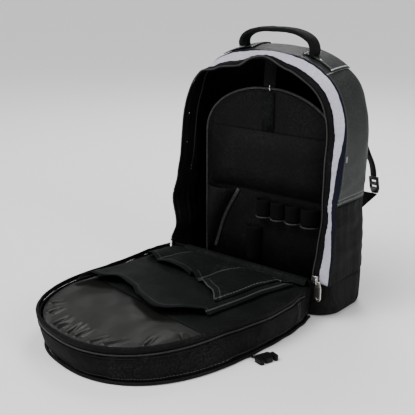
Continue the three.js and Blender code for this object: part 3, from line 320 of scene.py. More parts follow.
def cloth_finish(
    name, colour, pale, roughness, pitch, relief, amount=0.5, coat=0.0, stitches=(), thread=0.11, shine=0.07
):
    """A woven or coated cloth, in metres. pale is the tone of its wear and of its painted thread glints, and amount
    how much of it shows.

    stitches are (axis, place, gap, strength) on the piece's map, where X is its first way.
    """
    material, tree, shader, places = new_finish(name)
    tone = placed(tree, TONE, Color=(*colour, 1), Pale=(*pale, 1), Amount=amount, Roughness=roughness)
    tree.links.new(places.outputs["Object"], tone.inputs["Vector"])
    weave = placed(tree, WEAVE, Pitch=pitch)
    tree.links.new(places.outputs["UV"], weave.inputs["Vector"])
    colour_out, height_out = tone.outputs["Color"], weave.outputs["Height"]
    split = joined(tree, "ShaderNodeSeparateXYZ", places.outputs["UV"])
    masks = []
    for axis, place, gap, strength in stitches:
        rows = placed(tree, STITCH, Place=place, Gap=gap)
        tree.links.new(split.outputs[axis], rows.inputs["Across"])
        tree.links.new(split.outputs["Y" if axis == "X" else "X"], rows.inputs["Along"])
        faded = calc(tree, "MULTIPLY", rows.outputs["Mask"], strength)
        masks.append(faded)
    if masks:
        sewn = masks[0]
        for mask in masks[1:]:
            sewn = calc(tree, "MAXIMUM", sewn, mask)
        colour_out = blended(tree, sewn, colour_out, (thread, thread, thread * 1.03))
        height_out = calc(tree, "MULTIPLY_ADD", sewn, 2.0, height_out)
    bump = tree.nodes.new("ShaderNodeBump")
    bump.inputs["Strength"].default_value = 0.8
    bump.inputs["Distance"].default_value = relief
    tree.links.new(height_out, bump.inputs["Height"])
    tree.links.new(colour_out, shader.inputs["Base Color"])
    tree.links.new(tone.outputs["Roughness"], shader.inputs["Roughness"])
    tree.links.new(bump.outputs["Normal"], shader.inputs["Normal"])
    shader.inputs["Coat Weight"].default_value = coat
    shader.inputs["Coat Roughness"].default_value = 0.35
    shader.inputs["Specular IOR Level"].default_value = shine
    return material


LINING = cloth_finish("black lining", (0.003, 0.003, 0.0033), (0.012, 0.012, 0.014), 0.85, 0.0008, 0.00008, 0.4)


def box_map(bm):
    """A map in metres for a piece that has none, from the side that each face looks to."""
    layer = bm.loops.layers.uv.verify()
    for face in bm.faces:
        face.normal_update()
        n = [abs(c) for c in face.normal]
        main = n.index(max(n))
        keep = [i for i in range(3) if i != main]
        for loop in face.loops:
            loop[layer].uv = (loop.vert.co[keep[0]], loop.vert.co[keep[1]])


def linked(name, data):
    """A new object in the scene, at the origin."""
    made = bpy.data.objects.new(name, data)
    bpy.context.scene.collection.objects.link(made)
    return made


def place_piece(name, bm, finishes, slot, nodes=(), body="bag"):
    """Makes the object, with its finish, the body that it rides on and the nodes that it stands for."""
    mesh = bpy.data.meshes.new(name)
    bm.to_mesh(mesh)
    bm.free()
    piece = linked(name, mesh)
    for finish in finishes:
        mesh.materials.append(finish)
    for polygon in mesh.polygons:
        polygon.use_smooth = True
    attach(piece, body)
    if nodes:
        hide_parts(*nodes)
    return piece


def span(at):
    """How long a sheet is each way through its middle, in metres."""
    middle_u = [at(i / 40, 0.5) for i in range(41)]
    middle_v = [at(0.5, i / 20) for i in range(21)]
    wide = sum((b - a).length for a, b in zip(middle_u, middle_u[1:]))
    return wide, sum((b - a).length for a, b in zip(middle_v, middle_v[1:]))


def sheet_mesh(columns, rows, at, joined_round=False):
    """A grid bent into shape: at(u, v), each from 0 to 1, gives its points, and its map is in metres."""
    bm = bmesh.new()
    layer = bm.loops.layers.uv.new("UVMap")
    bmesh.ops.create_grid(bm, x_segments=columns, y_segments=rows, size=0.5, calc_uvs=True)
    wide, high = span(at)
    for face in bm.faces:
        for loop in face.loops:
            loop[layer].uv = ((loop.vert.co.x + 0.5) * wide, (loop.vert.co.y + 0.5) * high)
    for vert in bm.verts:
        vert.co = at(vert.co.x + 0.5, vert.co.y + 0.5)
    if joined_round:
        bmesh.ops.remove_doubles(bm, verts=bm.verts[:], dist=1e-5)
    return bm


def way_length(at, fixed, along_u):
    points = [at(i / 40, fixed) if along_u else at(fixed, i / 40) for i in range(41)]
    return sum((b - a).length for a, b in zip(points, points[1:]))


def cut_size(at):
    """The rectangle that a sheet is cut from: its longest lines each way."""
    shares = (0.02, 0.25, 0.5, 0.75, 0.98)
    return max(way_length(at, v, True) for v in shares), max(way_length(at, u, False) for u in shares)


def cloth(name, columns, rows, at, thickness, finishes, slot, nodes=(), turned=False, held="stretched"):
    """A cloth wall with its right side where at(u, v) says, thickened behind it. turned looks the other way."""
    bm = sheet_mesh(columns, rows, at)
    area = sum(face.calc_area() for face in bm.faces)
    if turned:
        bmesh.ops.reverse_faces(bm, faces=bm.faces[:])
    piece = place_piece(name, bm, finishes, slot, nodes)
    if held:
        wide, high = cut_size(at)
    wall = piece.modifiers.new("wall", "SOLIDIFY")
    wall.thickness = thickness
    wall.offset = -1
    wall.use_even_offset = False
    if len(finishes) > 1:
        wall.material_offset = 1
        wall.material_offset_rim = 0
    return piece


def pucker(along, away, pitch=0.011, depth=0.0009, reach=0.009):
    """The small gathers beside a sewn seam."""
    return depth * math.sin(2 * math.pi * along / pitch) * math.exp(-away / reach)


def drawn(across, along, broad, long, depth, seed=0.0):
    """Folds that run one way: broad is their spacing across and long is how slowly they change along."""
    return depth * noise.noise(Vector((across / broad, along / long, seed)))


SEAM_T = t_at_height(SIDE_SEAM_HEIGHT, 1)
SHOULDER_T = 0.25
ARCH_RUN = 0.62
COVER_DEPTH = 0.16


def cover_point(u, v):
    t = mix(-SEAM_T, SEAM_T, u)
    flat = body_skin(t, v)
    seam = min(u, 1 - u) * 1.1
    lift = rumple(flat, 0.07, 0.0018) + rumple(flat, 0.024, 0.0007, 3.1)
    lift += drawn(flat.y, flat.z, 0.05, 0.016, 0.0022, 4.0) * ease(1 - seam / 0.09)
    lift += pucker(t * ARCH_RUN, v * COVER_DEPTH) + pucker(flat.y, seam, 0.012, 0.0009)
    shoulder = abs(abs(t) - SHOULDER_T) * ARCH_RUN
    lift -= 0.0009 * hump(shoulder, 0.0025) - pucker(flat.y, shoulder, 0.011, 0.0006)
    lift *= ease(v / 0.05) * ease((1 - v) / 0.08) * ease(seam / 0.006)
    return body_skin(t, v, lift)


COVER_LENGTH = span(cover_point)[0]
SHOULDER_SEAM = COVER_LENGTH * (0.5 + SHOULDER_T / 2 / SEAM_T)
COVER_STITCHES = [
    ("X", 0.004, 0.006, 0.32),
    ("X", COVER_LENGTH - 0.010, 0.006, 0.32),
    ("X", SHOULDER_SEAM, 0.0012, 0.8),
    ("X", COVER_LENGTH - SHOULDER_SEAM, 0.0012, 0.8),
    ("Y", 0.003, 0.0, 0.15),
]
CHARCOAL = (0.0130, 0.0153, 0.0145)
# The paler charcoal shows as a cast of wear and as painted glints of the threads.
CHARCOAL_WORN_AND_GLINT = (0.052, 0.058, 0.055)
COATED = cloth_finish(
    "coated cover", CHARCOAL, CHARCOAL_WORN_AND_GLINT, 0.5, 0.0014, 0.0002, 0.75, 0.05, COVER_STITCHES, 0.6, 0.12
)
cloth("upper_cover", 180, 34, cover_point, CLOTH, [COATED, LINING], "coated_cloth", ["upper_gusset"])


# The side panels: heavy black cloth between the side seam and the boot, gathered into small pleats on the left.
# Both are lined, and their lower edges are held in the boot's seam.
BLACK = cloth_finish("heavy black cloth", (0.0030, 0.0030, 0.0033), (0.021, 0.021, 0.023), 0.66, 0.0013, 0.00025, 0.7)


def side_point(side):
    def at(u, v):
        z = mix(BOOT_HEIGHT - 0.0003, SIDE_SEAM_HEIGHT, u if side < 0 else 1 - u)
        t = t_at_height(z, side)
        flat = body_skin(t, v)
        seam = min(u, 1 - u) * 0.137
        lift = rumple(flat, 0.06, 0.0016, 7.0) + rumple(flat, 0.02, 0.0006, 1.7)
        lift += drawn(flat.y, z, 0.016, 0.075, 0.0020, side) + drawn(flat.y, z, 0.06, 0.018, 0.0016, 6.0)
        lift += pucker(flat.y, seam, 0.012, 0.0009) + pucker(z, v * COVER_DEPTH)
        lift *= ease(v / 0.05) * ease((1 - v) / 0.08) * ease(seam / 0.004)
        return body_skin(t, v, lift)

    return at


SIDES = {"left": -1, "right": 1}
for label, side in SIDES.items():
    name = f"side_panel_{label}"
    cloth(name + "_cloth", 44, 60, side_point(side), CLOTH, [BLACK, LINING], "boot_cloth", [name])


# The boot: a moulded tray of the same heavy cloth over foam, which keeps the bag upright on its flat underside.
# Its front corners are round at the foot and grow sharper towards the rim.
BOOT_WALL = 0.0035
BOOT_GIRTH = 0.95
BOOT_FLOOR = 0.2
BOOT_ROWS = table(
    ("at", "inset", "corner"),
    (0, 1, 1),
    (0.07, 0.3, 1),
    (0.2, 0, 0.9),
    (0.6, 0, 0.45),
    (1, 0, 0.25),
)


def boot_point(round_share, high):
    inset = 0.007 * read(BOOT_ROWS, high, "inset")
    front_radius = max(0.050 * read(BOOT_ROWS, high, "corner") - inset, 0.002)
    back_radius = BACK_EDGE_RADIUS - inset
    right, front, back = HALF - inset, FRONT_Y + inset, BACK_Y - inset
    corners = [
        (right - front_radius, front + front_radius, front_radius, -90),
        (right - back_radius, back - back_radius, back_radius, 0),
        (back_radius - right, back - back_radius, back_radius, 90),
        (front_radius - right, front + front_radius, front_radius, 180),
    ]
    place = (round_share % 1.0) * 4
    index = int(place) % 4
    share = place - int(place)
    x, y, r, start = corners[index]
    if share < 0.55:
        angle = math.radians(start + 90 * share / 0.55)
        point = Vector((x + r * math.cos(angle), y + r * math.sin(angle), high * BOOT_HEIGHT))
    else:
        nx, ny, nr, nstart = corners[(index + 1) % 4]
        a = Vector((x + r * math.cos(math.radians(start + 90)), y + r * math.sin(math.radians(start + 90)), 0))
        b = Vector((nx + nr * math.cos(math.radians(nstart)), ny + nr * math.sin(math.radians(nstart)), 0))
        point = a.lerp(b, (share - 0.55) / 0.45)
        point.z = high * BOOT_HEIGHT
    return settle(point)


def boot_wall(u, v):
    if v < BOOT_FLOOR:
        rim = boot_point(u, 0)
        return Vector((rim.x * v / BOOT_FLOOR, rim.y * v / BOOT_FLOOR, 0))
    high = (v - BOOT_FLOOR) / (1 - BOOT_FLOOR)
    point = boot_point(u, high)
    centre = Vector((0, 0, point.z))
    out = (point - centre).normalized()
    lift = rumple(point, 0.05, 0.0013, 4.0) + pucker(u * BOOT_GIRTH, (1 - high) * BOOT_HEIGHT, 0.012, 0.0009)
    lift += drawn(u * BOOT_GIRTH, point.z, 0.02, 0.05, 0.0014, 3.0)
    return point + out * lift * ease(high / 0.1) * ease((1 - high) / 0.04)


boot_mesh = sheet_mesh(200, 26, boot_wall, joined_round=True)
bmesh.ops.recalc_face_normals(boot_mesh, faces=boot_mesh.faces[:])
boot = place_piece("boot", boot_mesh, [BLACK, LINING], "boot_cloth", ["base_boot"])
boot_thick = boot.modifiers.new("wall", "SOLIDIFY")
boot_thick.thickness = BOOT_WALL
boot_thick.offset = -1
boot_thick.material_offset = 1
boot_thick.material_offset_rim = 0


# The turned edge of the opening: a light reflective tape sewn to the cloth, with a thin navy selvedge.
# Beyond it a black tape carries the zip's coil.
def edge_point(t, distance, forward=0.0):
    tilt = math.radians(read(EDGE, t, "tilt"))
    start = body_skin(t, 0)
    inward = -outward_at(t)
    clear = CLOTH * max(0, -math.tan(tilt)) - 0.0006
    across = Vector((0, -math.sin(tilt), 0)) + inward * math.cos(tilt)
    normal = Vector((0, -math.cos(tilt), 0)) - inward * math.sin(tilt)
    return start + Vector((0, -clear, 0)) + across * distance + normal * forward


NAVY = (0.006, 0.0065, 0.015)
TAPE_WIDTH = 0.022
ZIP_TAPE_START = 0.0212
ZIP_TAPE_END = 0.035
DARK_FOOT = 0.056


def tape_finish(length):
    """Pale reflective cloth with a navy selvedge, widest where the right side is drawn in. X runs along it."""
    # The tape's uneven tone between these two colours is painted light and shade of its crinkles.
    material = cloth_finish("reflective tape", (0.44, 0.435, 0.51), (0.66, 0.655, 0.72), 0.42, 0.0011, 0.00008, 0.9)
    tree = material.node_tree
    shader = tree.nodes["Principled BSDF"]
    places = tree.nodes["Texture Coordinate"]
    split = joined(tree, "ShaderNodeSeparateXYZ", places.outputs["UV"])
    wander = cloudy(tree, places.outputs["UV"], 60, 3)
    along = split.outputs["X"]
    rise = joined(tree, "ShaderNodeMapRange", along, 0.03, 0.13, 0.0, 1.0, interpolation_type="SMOOTHSTEP")
    fall = joined(tree, "ShaderNodeMapRange", along, 0.16, 0.27, 1.0, 0.0, interpolation_type="SMOOTHSTEP")
    waist = calc(tree, "MULTIPLY", rise.outputs[0], fall.outputs[0])
    widening = calc(tree, "MULTIPLY_ADD", waist, 0.0095, 0.0016)
    ragged = calc(tree, "MULTIPLY_ADD", wander.outputs[0], 0.0030, widening)
    low = calc(tree, "LESS_THAN", split.outputs["Y"], ragged)
    inner = calc(tree, "MULTIPLY_ADD", wander.outputs[0], -0.0035, 0.0222)
    high = calc(tree, "GREATER_THAN", split.outputs["Y"], inner)
    edges = calc(tree, "MAXIMUM", low, high)
    foot = calc(tree, "GREATER_THAN", split.outputs["X"], length - DARK_FOOT)
    dark = calc(tree, "MAXIMUM", edges, foot)
    plain = shader.inputs["Base Color"].links[0].from_socket
    tree.links.new(blended(tree, dark, plain, NAVY), shader.inputs["Base Color"])
    return material


ZIP_TAPE = cloth_finish("zip tape", (0.0030, 0.0030, 0.0033), (0.022, 0.022, 0.024), 0.7, 0.0012, 0.00015, 0.6)


def tape_point(u, v):
    t = mix(1, -1, u)
    crinkle = 0.0006 * math.sin(2 * math.pi * t * 62 + 3 * noise.noise(Vector((t * 30, 0, 0))))
    crinkle += 0.0020 * noise.noise(Vector((t * 22, v * 0.8, 5))) + 0.0008 * noise.noise(Vector((t * 60, v * 2, 8)))
    return edge_point(t, v * TAPE_WIDTH, 0.0009 + crinkle * (0.3 + 0.7 * v))


def zip_tape_point(u, v):
    """The black tape beside the coil. Its left end runs on down the boot, behind the flap."""
    t = mix(1, -1.035, u)
    crinkle = 0.0007 * noise.noise(Vector((t * 26, v, 9)))
    roll = 0.0022 * math.sin(math.pi * v)
    point = edge_point(max(t, -1), mix(ZIP_TAPE_START, ZIP_TAPE_END, v), 0.0008 + crinkle + roll)
    point.z -= max(-1 - t, 0) * STRAIGHT / (1 - ARCH_SHARE)
    return point


TAPE = tape_finish(span(tape_point)[0])
cloth("opening_tape", 260, 8, tape_point, 0.0009, [TAPE, LINING], "reflective_cloth", ["reflective_tape"])
cloth("opening_zip_tape_cloth", 260, 8, zip_tape_point, 0.0012, [ZIP_TAPE], "zip_cloth", ["opening_zip_tape"])


def tab_point(u, v):
    """A folded ribbon tab, caught in the tape's seam on the right."""
    t = mix(0.595, 0.577, u)
    return body_skin(t, mix(0.014, 0.036, v), 0.0022 + 0.0006 * math.sin(math.pi * v))


RIBBON = cloth_finish("ribbon tab", (0.20, 0.20, 0.21), (0.38, 0.38, 0.38), 0.5, 0.0008, 0.0001, 0.8)
cloth("seam_tab", 8, 8, tab_point, 0.0009, [RIBBON], "reflective_cloth", held=None)


# The back panel: black cloth quilted over foam, with two upright channels and ribs that let air through.
# Its inner face is a lining of its own.
def backing_point(u, v):
    t = mix(0.999, 0.02, v)
    outward = outward_at(t)
    right = body_skin(t, 1) + outward * 0.0012
    left = body_skin(-t, 1) + outward_at(-t) * 0.0012
    x = mix(left.x, right.x, u)
    high = (right.z - BOOT_HEIGHT) / (BODY_TOP - BACK_EDGE_RADIUS - BOOT_HEIGHT)
    across = abs(2 * u - 1)
    pad = 0.009 * ease(min(high, 1 - high) / 0.04) * (1 - across**6)
    channel = hump(abs(x) - 0.034, 0.006)
    rib = 0.5 + 0.5 * math.cos(2 * math.pi * (right.z - 0.07) / 0.052)
    pad *= 1 - 0.6 * channel - 0.28 * rib**6 * (1 if across < 0.8 else 0.4)
    spot = Vector((x, BACK_Y, right.z))
    return Vector((x, BACK_Y + pad + rumple(spot, 0.03, 0.0005), right.z))


PADDED = cloth_finish("padded black cloth", (0.004, 0.004, 0.0045), (0.026, 0.026, 0.029), 0.75, 0.0016, 0.0004, 0.6)
back = cloth(
    "back_padding", 90, 110, backing_point, 0.0045, [PADDED, LINING], "padded_cloth", ["back_panel"],
    turned=True, held=None,
)


def back_lining_point(u, v):
    point = backing_point(u, v)
    point.y = BACK_Y - 0.003 + rumple(point, 0.05, 0.0006, 8.0)
    return point


cloth("back_lining", 40, 40, back_lining_point, 0.001, [LINING], "padded_cloth")


def curve_at(points, share):
    """A place on a smooth curve through the points."""
    last = len(points) - 1
    place = min(max(share, 0), 1) * last
    i = min(int(place), last - 1)
    a, b, c, d = points[max(i - 1, 0)], points[i], points[i + 1], points[min(i + 2, last)]
    w = place - i
    return 0.5 * (2 * b + (c - a) * w + (2 * a - 5 * b + 4 * c - d) * w**2 + (3 * b - a - 3 * c + d) * w**3)


def plumped(piece, voxel, cap):
    """Swells a closed padded piece by a short cloth simulation, holds every point within cap, and keeps the result."""
    scene = bpy.context.scene
    even = piece.modifiers.new("even", "REMESH")
    even.mode = "VOXEL"
    even.voxel_size = voxel
    shaped = piece.evaluated_get(bpy.context.evaluated_depsgraph_get())
    mesh = bpy.data.meshes.new_from_object(shaped)
    finishes = list(piece.data.materials)
    piece.modifiers.clear()
    piece.data = mesh
    mesh.materials.clear()
    for finish in finishes:
        mesh.materials.append(finish)
    before = [v.co.copy() for v in mesh.vertices]
    inward = [v.normal * 0.0010 for v in mesh.vertices]
    for vertex, step in zip(mesh.vertices, inward):
        vertex.co -= step
    soft = piece.modifiers.new("soft", "CLOTH")
    soft.settings.quality = 4
    soft.settings.use_pressure = True
    soft.settings.uniform_pressure_force = 4
    soft.settings.effector_weights.gravity = 0
    soft.point_cache.frame_start = 1
    soft.point_cache.frame_end = 20
    for number in range(1, 21):
        scene.frame_set(number)
    swollen = piece.evaluated_get(bpy.context.evaluated_depsgraph_get()).data
    after = [v.co.copy() for v in swollen.vertices]
    piece.modifiers.clear()
    scene.frame_set(1)
    for vertex, start, end in zip(mesh.vertices, before, after):
        move = end - start
        vertex.co = start + move * min(1, cap / max(move.length, 1e-9))
    bm = bmesh.new()
    bm.from_mesh(mesh)
    box_map(bm)
    for face in bm.faces:
        face.smooth = True
    bm.to_mesh(mesh)
    bm.free()
    smooth = piece.modifiers.new("smooth", "SUBSURF")
    smooth.levels = 1
    smooth.render_levels = 1


def dressed(node, name, finish, slot, body="bag", level=1, crease=0.7):
    """A piece made from a copy of its solid: merged, squared up, smoothed along its length, with its edges held."""
    bm = bmesh.new()
    bm.from_mesh(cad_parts[node].data)
    bmesh.ops.remove_doubles(bm, verts=bm.verts[:], dist=1e-5)
    bmesh.ops.join_triangles(bm, faces=bm.faces[:], angle_face_threshold=0.5, angle_shape_threshold=1.2)
    held = bm.edges.layers.float.new("crease_edge")
    for edge in bm.edges:
        if len(edge.link_faces) == 2 and edge.calc_face_angle(0) > 0.7:
            edge[held] = crease
    box_map(bm)
    piece = place_piece(name, bm, [finish], slot, [node], body)
    if level:
        soft = piece.modifiers.new("rounded", "SUBSURF")
        soft.levels = level
        soft.render_levels = level
    return piece


# The shoulder straps: padded bands sewn high on the back, each ending in webbing and a ladder lock.
# A small wing of cloth at the side seam holds each lock.
WEBBING = cloth_finish("black webbing", (0.0042, 0.0045, 0.0045), (0.028, 0.031, 0.031), 0.7, 0.0018, 0.0004, 0.7)


def cast_finish(name, colour, pale, roughness):
    """A moulded or cast part's finish, with the uneven tone of handling and the painted glint flecks of the cloth
    tone.
    """
    material, tree, shader, places = new_finish(name)
    tone = placed(tree, TONE, Color=(*colour, 1), Pale=(*pale, 1), Roughness=roughness)
    tree.links.new(places.outputs["Object"], tone.inputs["Vector"])
    tree.links.new(tone.outputs["Color"], shader.inputs["Base Color"])
    tree.links.new(tone.outputs["Roughness"], shader.inputs["Roughness"])
    return material, shader


def softened(piece, width, segments):
    """Rounds a hard part's edges."""
    edge = piece.modifiers.new("soft edges", "BEVEL")
    edge.width = width
    edge.segments = segments


PLASTIC, plastic_shader = cast_finish("moulded black plastic", (0.004, 0.004, 0.0044), (0.014, 0.014, 0.015), 0.48)
plastic_shader.inputs["Specular IOR Level"].default_value = 0.12
for label in SIDES:
    strap_name = f"shoulder_strap_{label}"
    strap = dressed(strap_name, strap_name + "_padded", PADDED, "padded_cloth", level=1, crease=0.3)
    plumped(strap, 0.004, 0.003)
    dressed(f"strap_webbing_{label}", f"strap_webbing_{label}_woven", WEBBING, "webbing", level=1)
    dressed(f"strap_wing_{label}", f"strap_wing_{label}_cloth", BLACK, "boot_cloth", level=1)
    lock = dressed(f"ladder_lock_{label}", f"ladder_lock_{label}_moulded", PLASTIC, "black_plastic", level=0)
    softened(lock, 0.0008, 2)


# The carrying handle: a padded band of webbing cloth, its feet sewn down under a patch on each shoulder.
# The patch is a length of the cover's cloth, stitched across at both of its ends.
HANDLE_SPAN = 0.148
HANDLE_OFFSET = 0.014
HANDLE_RISE = 0.0385
HANDLE_WIDTH = 0.029
HANDLE_THICKNESS = 0.009
HANDLE_DEPTH = FLAT_SHARE * 0.36
HANDLE_ARCH = [(1, 0), (1.01, 0.3), (0.92, 0.62), (0.68, 0.86), (0.35, 0.98), (0, 1)]


def t_at_x(x):
    angle = math.acos(min(abs(x) / SHOULDER, 1) ** (ARCH_ROUNDNESS / 2))
    return (-1 if x < 0 else 1) * ARCH_SHARE * (1 - angle / (math.pi / 2))


def foot_t(side):
    return t_at_x(side * HANDLE_SPAN / 2 + HANDLE_OFFSET)


FOOT = {side: body_skin(foot_t(side), HANDLE_DEPTH) for side in (-1, 1)}
HANDLE_TOP = FOOT[1].z + 0.00565 + HANDLE_RISE


def handle_half(side):
    points = []
    for across, rise in HANDLE_ARCH:
        z = mix(FOOT[side].z + 0.0040, HANDLE_TOP, rise)
        points.append(Vector((side * HANDLE_SPAN / 2 * across + HANDLE_OFFSET, FOOT[1].y, z)))
    return points


HANDLE_LINE = handle_half(-1) + handle_half(1)[-2::-1]


def handle_point(u, v):
    centre = curve_at(HANDLE_LINE, v)
    along = (curve_at(HANDLE_LINE, v + 0.01) - curve_at(HANDLE_LINE, v - 0.01)).normalized()
    across = Vector((0, 1, 0))
    up = along.cross(across).normalized()
    angle = 2 * math.pi * u
    wide = math.copysign(abs(math.cos(angle)) ** 0.45, math.cos(angle)) * HANDLE_WIDTH / 2
    thick = math.copysign(abs(math.sin(angle)) ** 0.7, math.sin(angle)) * HANDLE_THICKNESS / 2
    end = ease(min(v, 1 - v) / 0.09)
    seam = 1 - 0.16 * hump(abs(wide) - HANDLE_WIDTH * 0.36, 0.0012)
    give = rumple(centre + across * wide, 0.014, 0.0006, 2.0)
    return centre + across * wide * mix(1.06, 1, end) + up * (thick * seam * mix(0.75, 1, end) + give * end)


handle_mesh = sheet_mesh(40, 110, handle_point, joined_round=True)
bmesh.ops.holes_fill(handle_mesh, edges=[e for e in handle_mesh.edges if e.is_boundary], sides=0)
bmesh.ops.recalc_face_normals(handle_mesh, faces=handle_mesh.faces[:])
handle = place_piece("carry_handle_padded", handle_mesh, [WEBBING], "webbing", ["carry_handle"])


def patch_point(side):
    start, end = sorted((foot_t(side) - side * 0.045, foot_t(side) + side * 0.1))

    def at(u, v):
        depth = mix(FLAT_SHARE * 0.25, FLAT_SHARE * 1.2, v)
        t = mix(start, end, u)
        edge = min(u, 1 - u) * 0.075
        gathers = pucker(v * 0.06, edge, 0.009, 0.0004)
        return body_skin(t, depth, 0.0027 + gathers)

    return at


for label, side in SIDES.items():
    wide, high = span(patch_point(side))
    rows = [("X", 0.0035, 0.0012, 1.0), ("X", wide - 0.0047, 0.0012, 1.0), ("Y", 0.003, 0.0, 0.3)]
    tones = ((0.0118, 0.0140, 0.0132), (0.055, 0.061, 0.058))
    finish = cloth_finish(f"handle patch {label}", *tones, 0.5, 0.0014, 0.0002, 0.7, 0.05, rows, 0.7, 0.12)
    name = f"handle_patch_{label}"
    cloth(name + "_cloth", 40, 26, patch_point(side), 0.0016, [finish], "coated_cloth", [name])


# The flap's box: a gusset of heavy cloth round a front panel that lies on the floor, with piping in their seam.
# It lies turned a little to the left, and near the hinge it is wider on the left than on the right.
FLAP_LENGTH = 0.395
FLAP_ARCH = 0.195
FLAP_STRAIGHT = FLAP_LENGTH - FLAP_ARCH
FLAP_POWER = 2 / 2.37
HINGE_DEPTH = 0.058
END_DEPTH = 0.047
TURN = math.radians(10.5)
TURN_LENGTH = 0.133
HINGE_Y = FRONT_Y - 0.005
FLAP_SIDES = table(
    ("at", "left", "right", "floor"),
    (0, 1.07, 0.835, 0.79),
    (0.15, 1.06, 0.88, 0.83),
    (0.35, 1.03, 0.975, 0.87),
    (0.55, 1.01, 1, 0.9),
    (0.8, 0.98, 0.985, 0.94),
    (1, 0.96, 0.96, 0.955),
)


def on_floor(u, v, z):
    """A place on the flap, by its distance from the hinge, its distance across and its height."""
    angle = TURN * min(u / TURN_LENGTH, 1)
    radius = TURN_LENGTH / TURN
    past = max(u - TURN_LENGTH, 0)
    x = -radius * (1 - math.cos(angle)) - past * math.sin(angle)
    y = -radius * math.sin(angle) - past * math.cos(angle)
    shift = 0.016 * min(u / BOOT_HEIGHT, 1) * (z / HINGE_DEPTH)
    return Vector((x + v * math.cos(angle) - shift, HINGE_Y + y - min(u, 0) - v * math.sin(angle), z))


def tuck_at(s, level):
    return 0.013 * ease(1 - abs(s + 0.3) / 0.26) * (1 - level)


def flap_edge(s, level):
    """The flap's edge as a distance from the hinge and one across: s runs from -1 on the left round to 1."""
    side = -1 if s < 0 else 1
    away = abs(s)
    at = min((1 - away) / 0.5, 1)
    share = mix(read(FLAP_SIDES, at, "floor"), read(FLAP_SIDES, at, "left" if side < 0 else "right"), level)
    tuck = tuck_at(s, level)
    if away >= 0.5:
        return FLAP_STRAIGHT * at, side * (HALF * share - tuck)
    angle = (1 - away / 0.5) * math.pi / 2
    long, wide = math.sin(angle) ** FLAP_POWER, max(math.cos(angle), 0) ** FLAP_POWER
    return FLAP_STRAIGHT + (mix(0.98, 1, level) * FLAP_ARCH - tuck) * long, side * (HALF * share - tuck) * wide


def rim_height(u):
    return mix(HINGE_DEPTH, END_DEPTH, clamp(u / FLAP_LENGTH))


def flap_wall(s, level):
    u, v = flap_edge(s, level)
    return on_floor(u, v, rim_height(u) * level)


def flap_inset(s, level, inset, lift=0.0):
    """A point of the flap's edge moved inward, level with the floor."""
    along = flap_wall(min(s + 0.01, 1), level) - flap_wall(max(s - 0.01, -1), level)
    along.z = 0
    along.normalize()
    return flap_wall(s, level) + Vector((-along.y * inset, along.x * inset, lift))


def puffed(s, level):
    return -0.005 * math.sin(math.pi * level) ** 0.8 * ease((1 - abs(s)) / 0.1)


FLAP_RUN = 0.62
GUSSET_HEIGHT = 0.055


def gusset_point(u, v):
    s = mix(-1, 1, u)
    level = v
    flat = flap_inset(s, level, puffed(s, level))
    swell = rumple(Vector((s * FLAP_RUN, level * 0.03, 0)), 0.04, 0.0028, 2.0)
    swell += rumple(Vector((s * FLAP_RUN, level * GUSSET_HEIGHT, 0)), 0.016, 0.0011, 8.0)
    top = pucker(s * FLAP_RUN, (1 - level) * GUSSET_HEIGHT, 0.010, 0.0009)
    swell += top + pucker(s * FLAP_RUN, level * GUSSET_HEIGHT, 0.011, 0.0007)
    hold = ease(level / 0.1) * ease((1 - level) / 0.06)
    return flap_inset(s, level, puffed(s, level) - swell * hold)


GUSSET_LENGTH = span(gusset_point)[0]
GUSSET_STITCHES = [
    ("Y", 0.0095, 0.0, 0.7),
    ("X", GUSSET_LENGTH * 0.952, 0.006, 1.0),
    ("X", GUSSET_LENGTH * 0.03, 0.006, 1.0),
]
GUSSET = cloth_finish(
    "gusset cloth", (0.0028, 0.0028, 0.0030), (0.020, 0.020, 0.021), 0.66, 0.0013, 0.00025, 0.75, 0.0, GUSSET_STITCHES
)
cloth("flap_gusset_cloth", 320, 26, gusset_point, CLOTH, [GUSSET, LINING], "boot_cloth", ["flap_side_gusset"])


def tube_mesh(sides, rows, path, radius):
    """A closed round strand along path(v), with its ends capped."""

    def at(u, v):
        centre = path(v)
        along = (path(min(v + 0.004, 1)) - path(max(v - 0.004, 0))).normalized()
        up = Vector((0, 0, 1))
        across = along.cross(up).normalized() if abs(along.z) < 0.98 else Vector((1, 0, 0))
        up = across.cross(along).normalized()
        angle = 2 * math.pi * u
        return centre + across * (radius * math.cos(angle)) + up * (radius * math.sin(angle))

    bm = sheet_mesh(sides, rows, at, joined_round=True)
    bmesh.ops.holes_fill(bm, edges=[e for e in bm.edges if e.is_boundary], sides=0)
    bmesh.ops.recalc_face_normals(bm, faces=bm.faces[:])
    return bm


def strand(name, sides, rows, path, radius, finish, slot, nodes=()):
    return place_piece(name, tube_mesh(sides, rows, path, radius), [finish], slot, nodes)


def piping_path(v):
    s = mix(-1, 1, v)
    point = flap_inset(s, 0.09, puffed(s, 0.12) - 0.0031)
    point.z = 0.0031
    return point


strand("flap_piping", 8, 240, piping_path, 0.0026, WEBBING, "webbing", ["flap_floor_piping"])


COIL_PITCH = 0.0026


def coil_finish():
    """The zip's coil: dark nylon, each turn with a paler crest that is a painted highlight. Y runs along it."""
    material, tree, shader, places = new_finish("zip coil")
    split = joined(tree, "ShaderNodeSeparateXYZ", places.outputs["UV"])
    angle = calc(tree, "MULTIPLY", split.outputs["Y"], 2 * math.pi / COIL_PITCH)
    wave = calc(tree, "SINE", angle)
    # The paler crest is a painted highlight on the top of each turn.
    crest = joined(tree, "ShaderNodeMapRange", wave, 0.1, 0.9, 0.0, 1.0)
    tone = blended(tree, crest.outputs[0], (0.003, 0.003, 0.003), (0.045, 0.045, 0.047))
    tree.links.new(tone, shader.inputs["Base Color"])
    bump = tree.nodes.new("ShaderNodeBump")
    bump.inputs["Distance"].default_value = 0.0006
    tree.links.new(wave, bump.inputs["Height"])
    tree.links.new(bump.outputs["Normal"], shader.inputs["Normal"])
    shader.inputs["Roughness"].default_value = 0.4
    return material


COIL = coil_finish()


def coil_path(level):
    def path(v):
        s = mix(-0.99, 0.94, v)
        return flap_inset(s, level, puffed(s, level) - 0.0012)

    return path


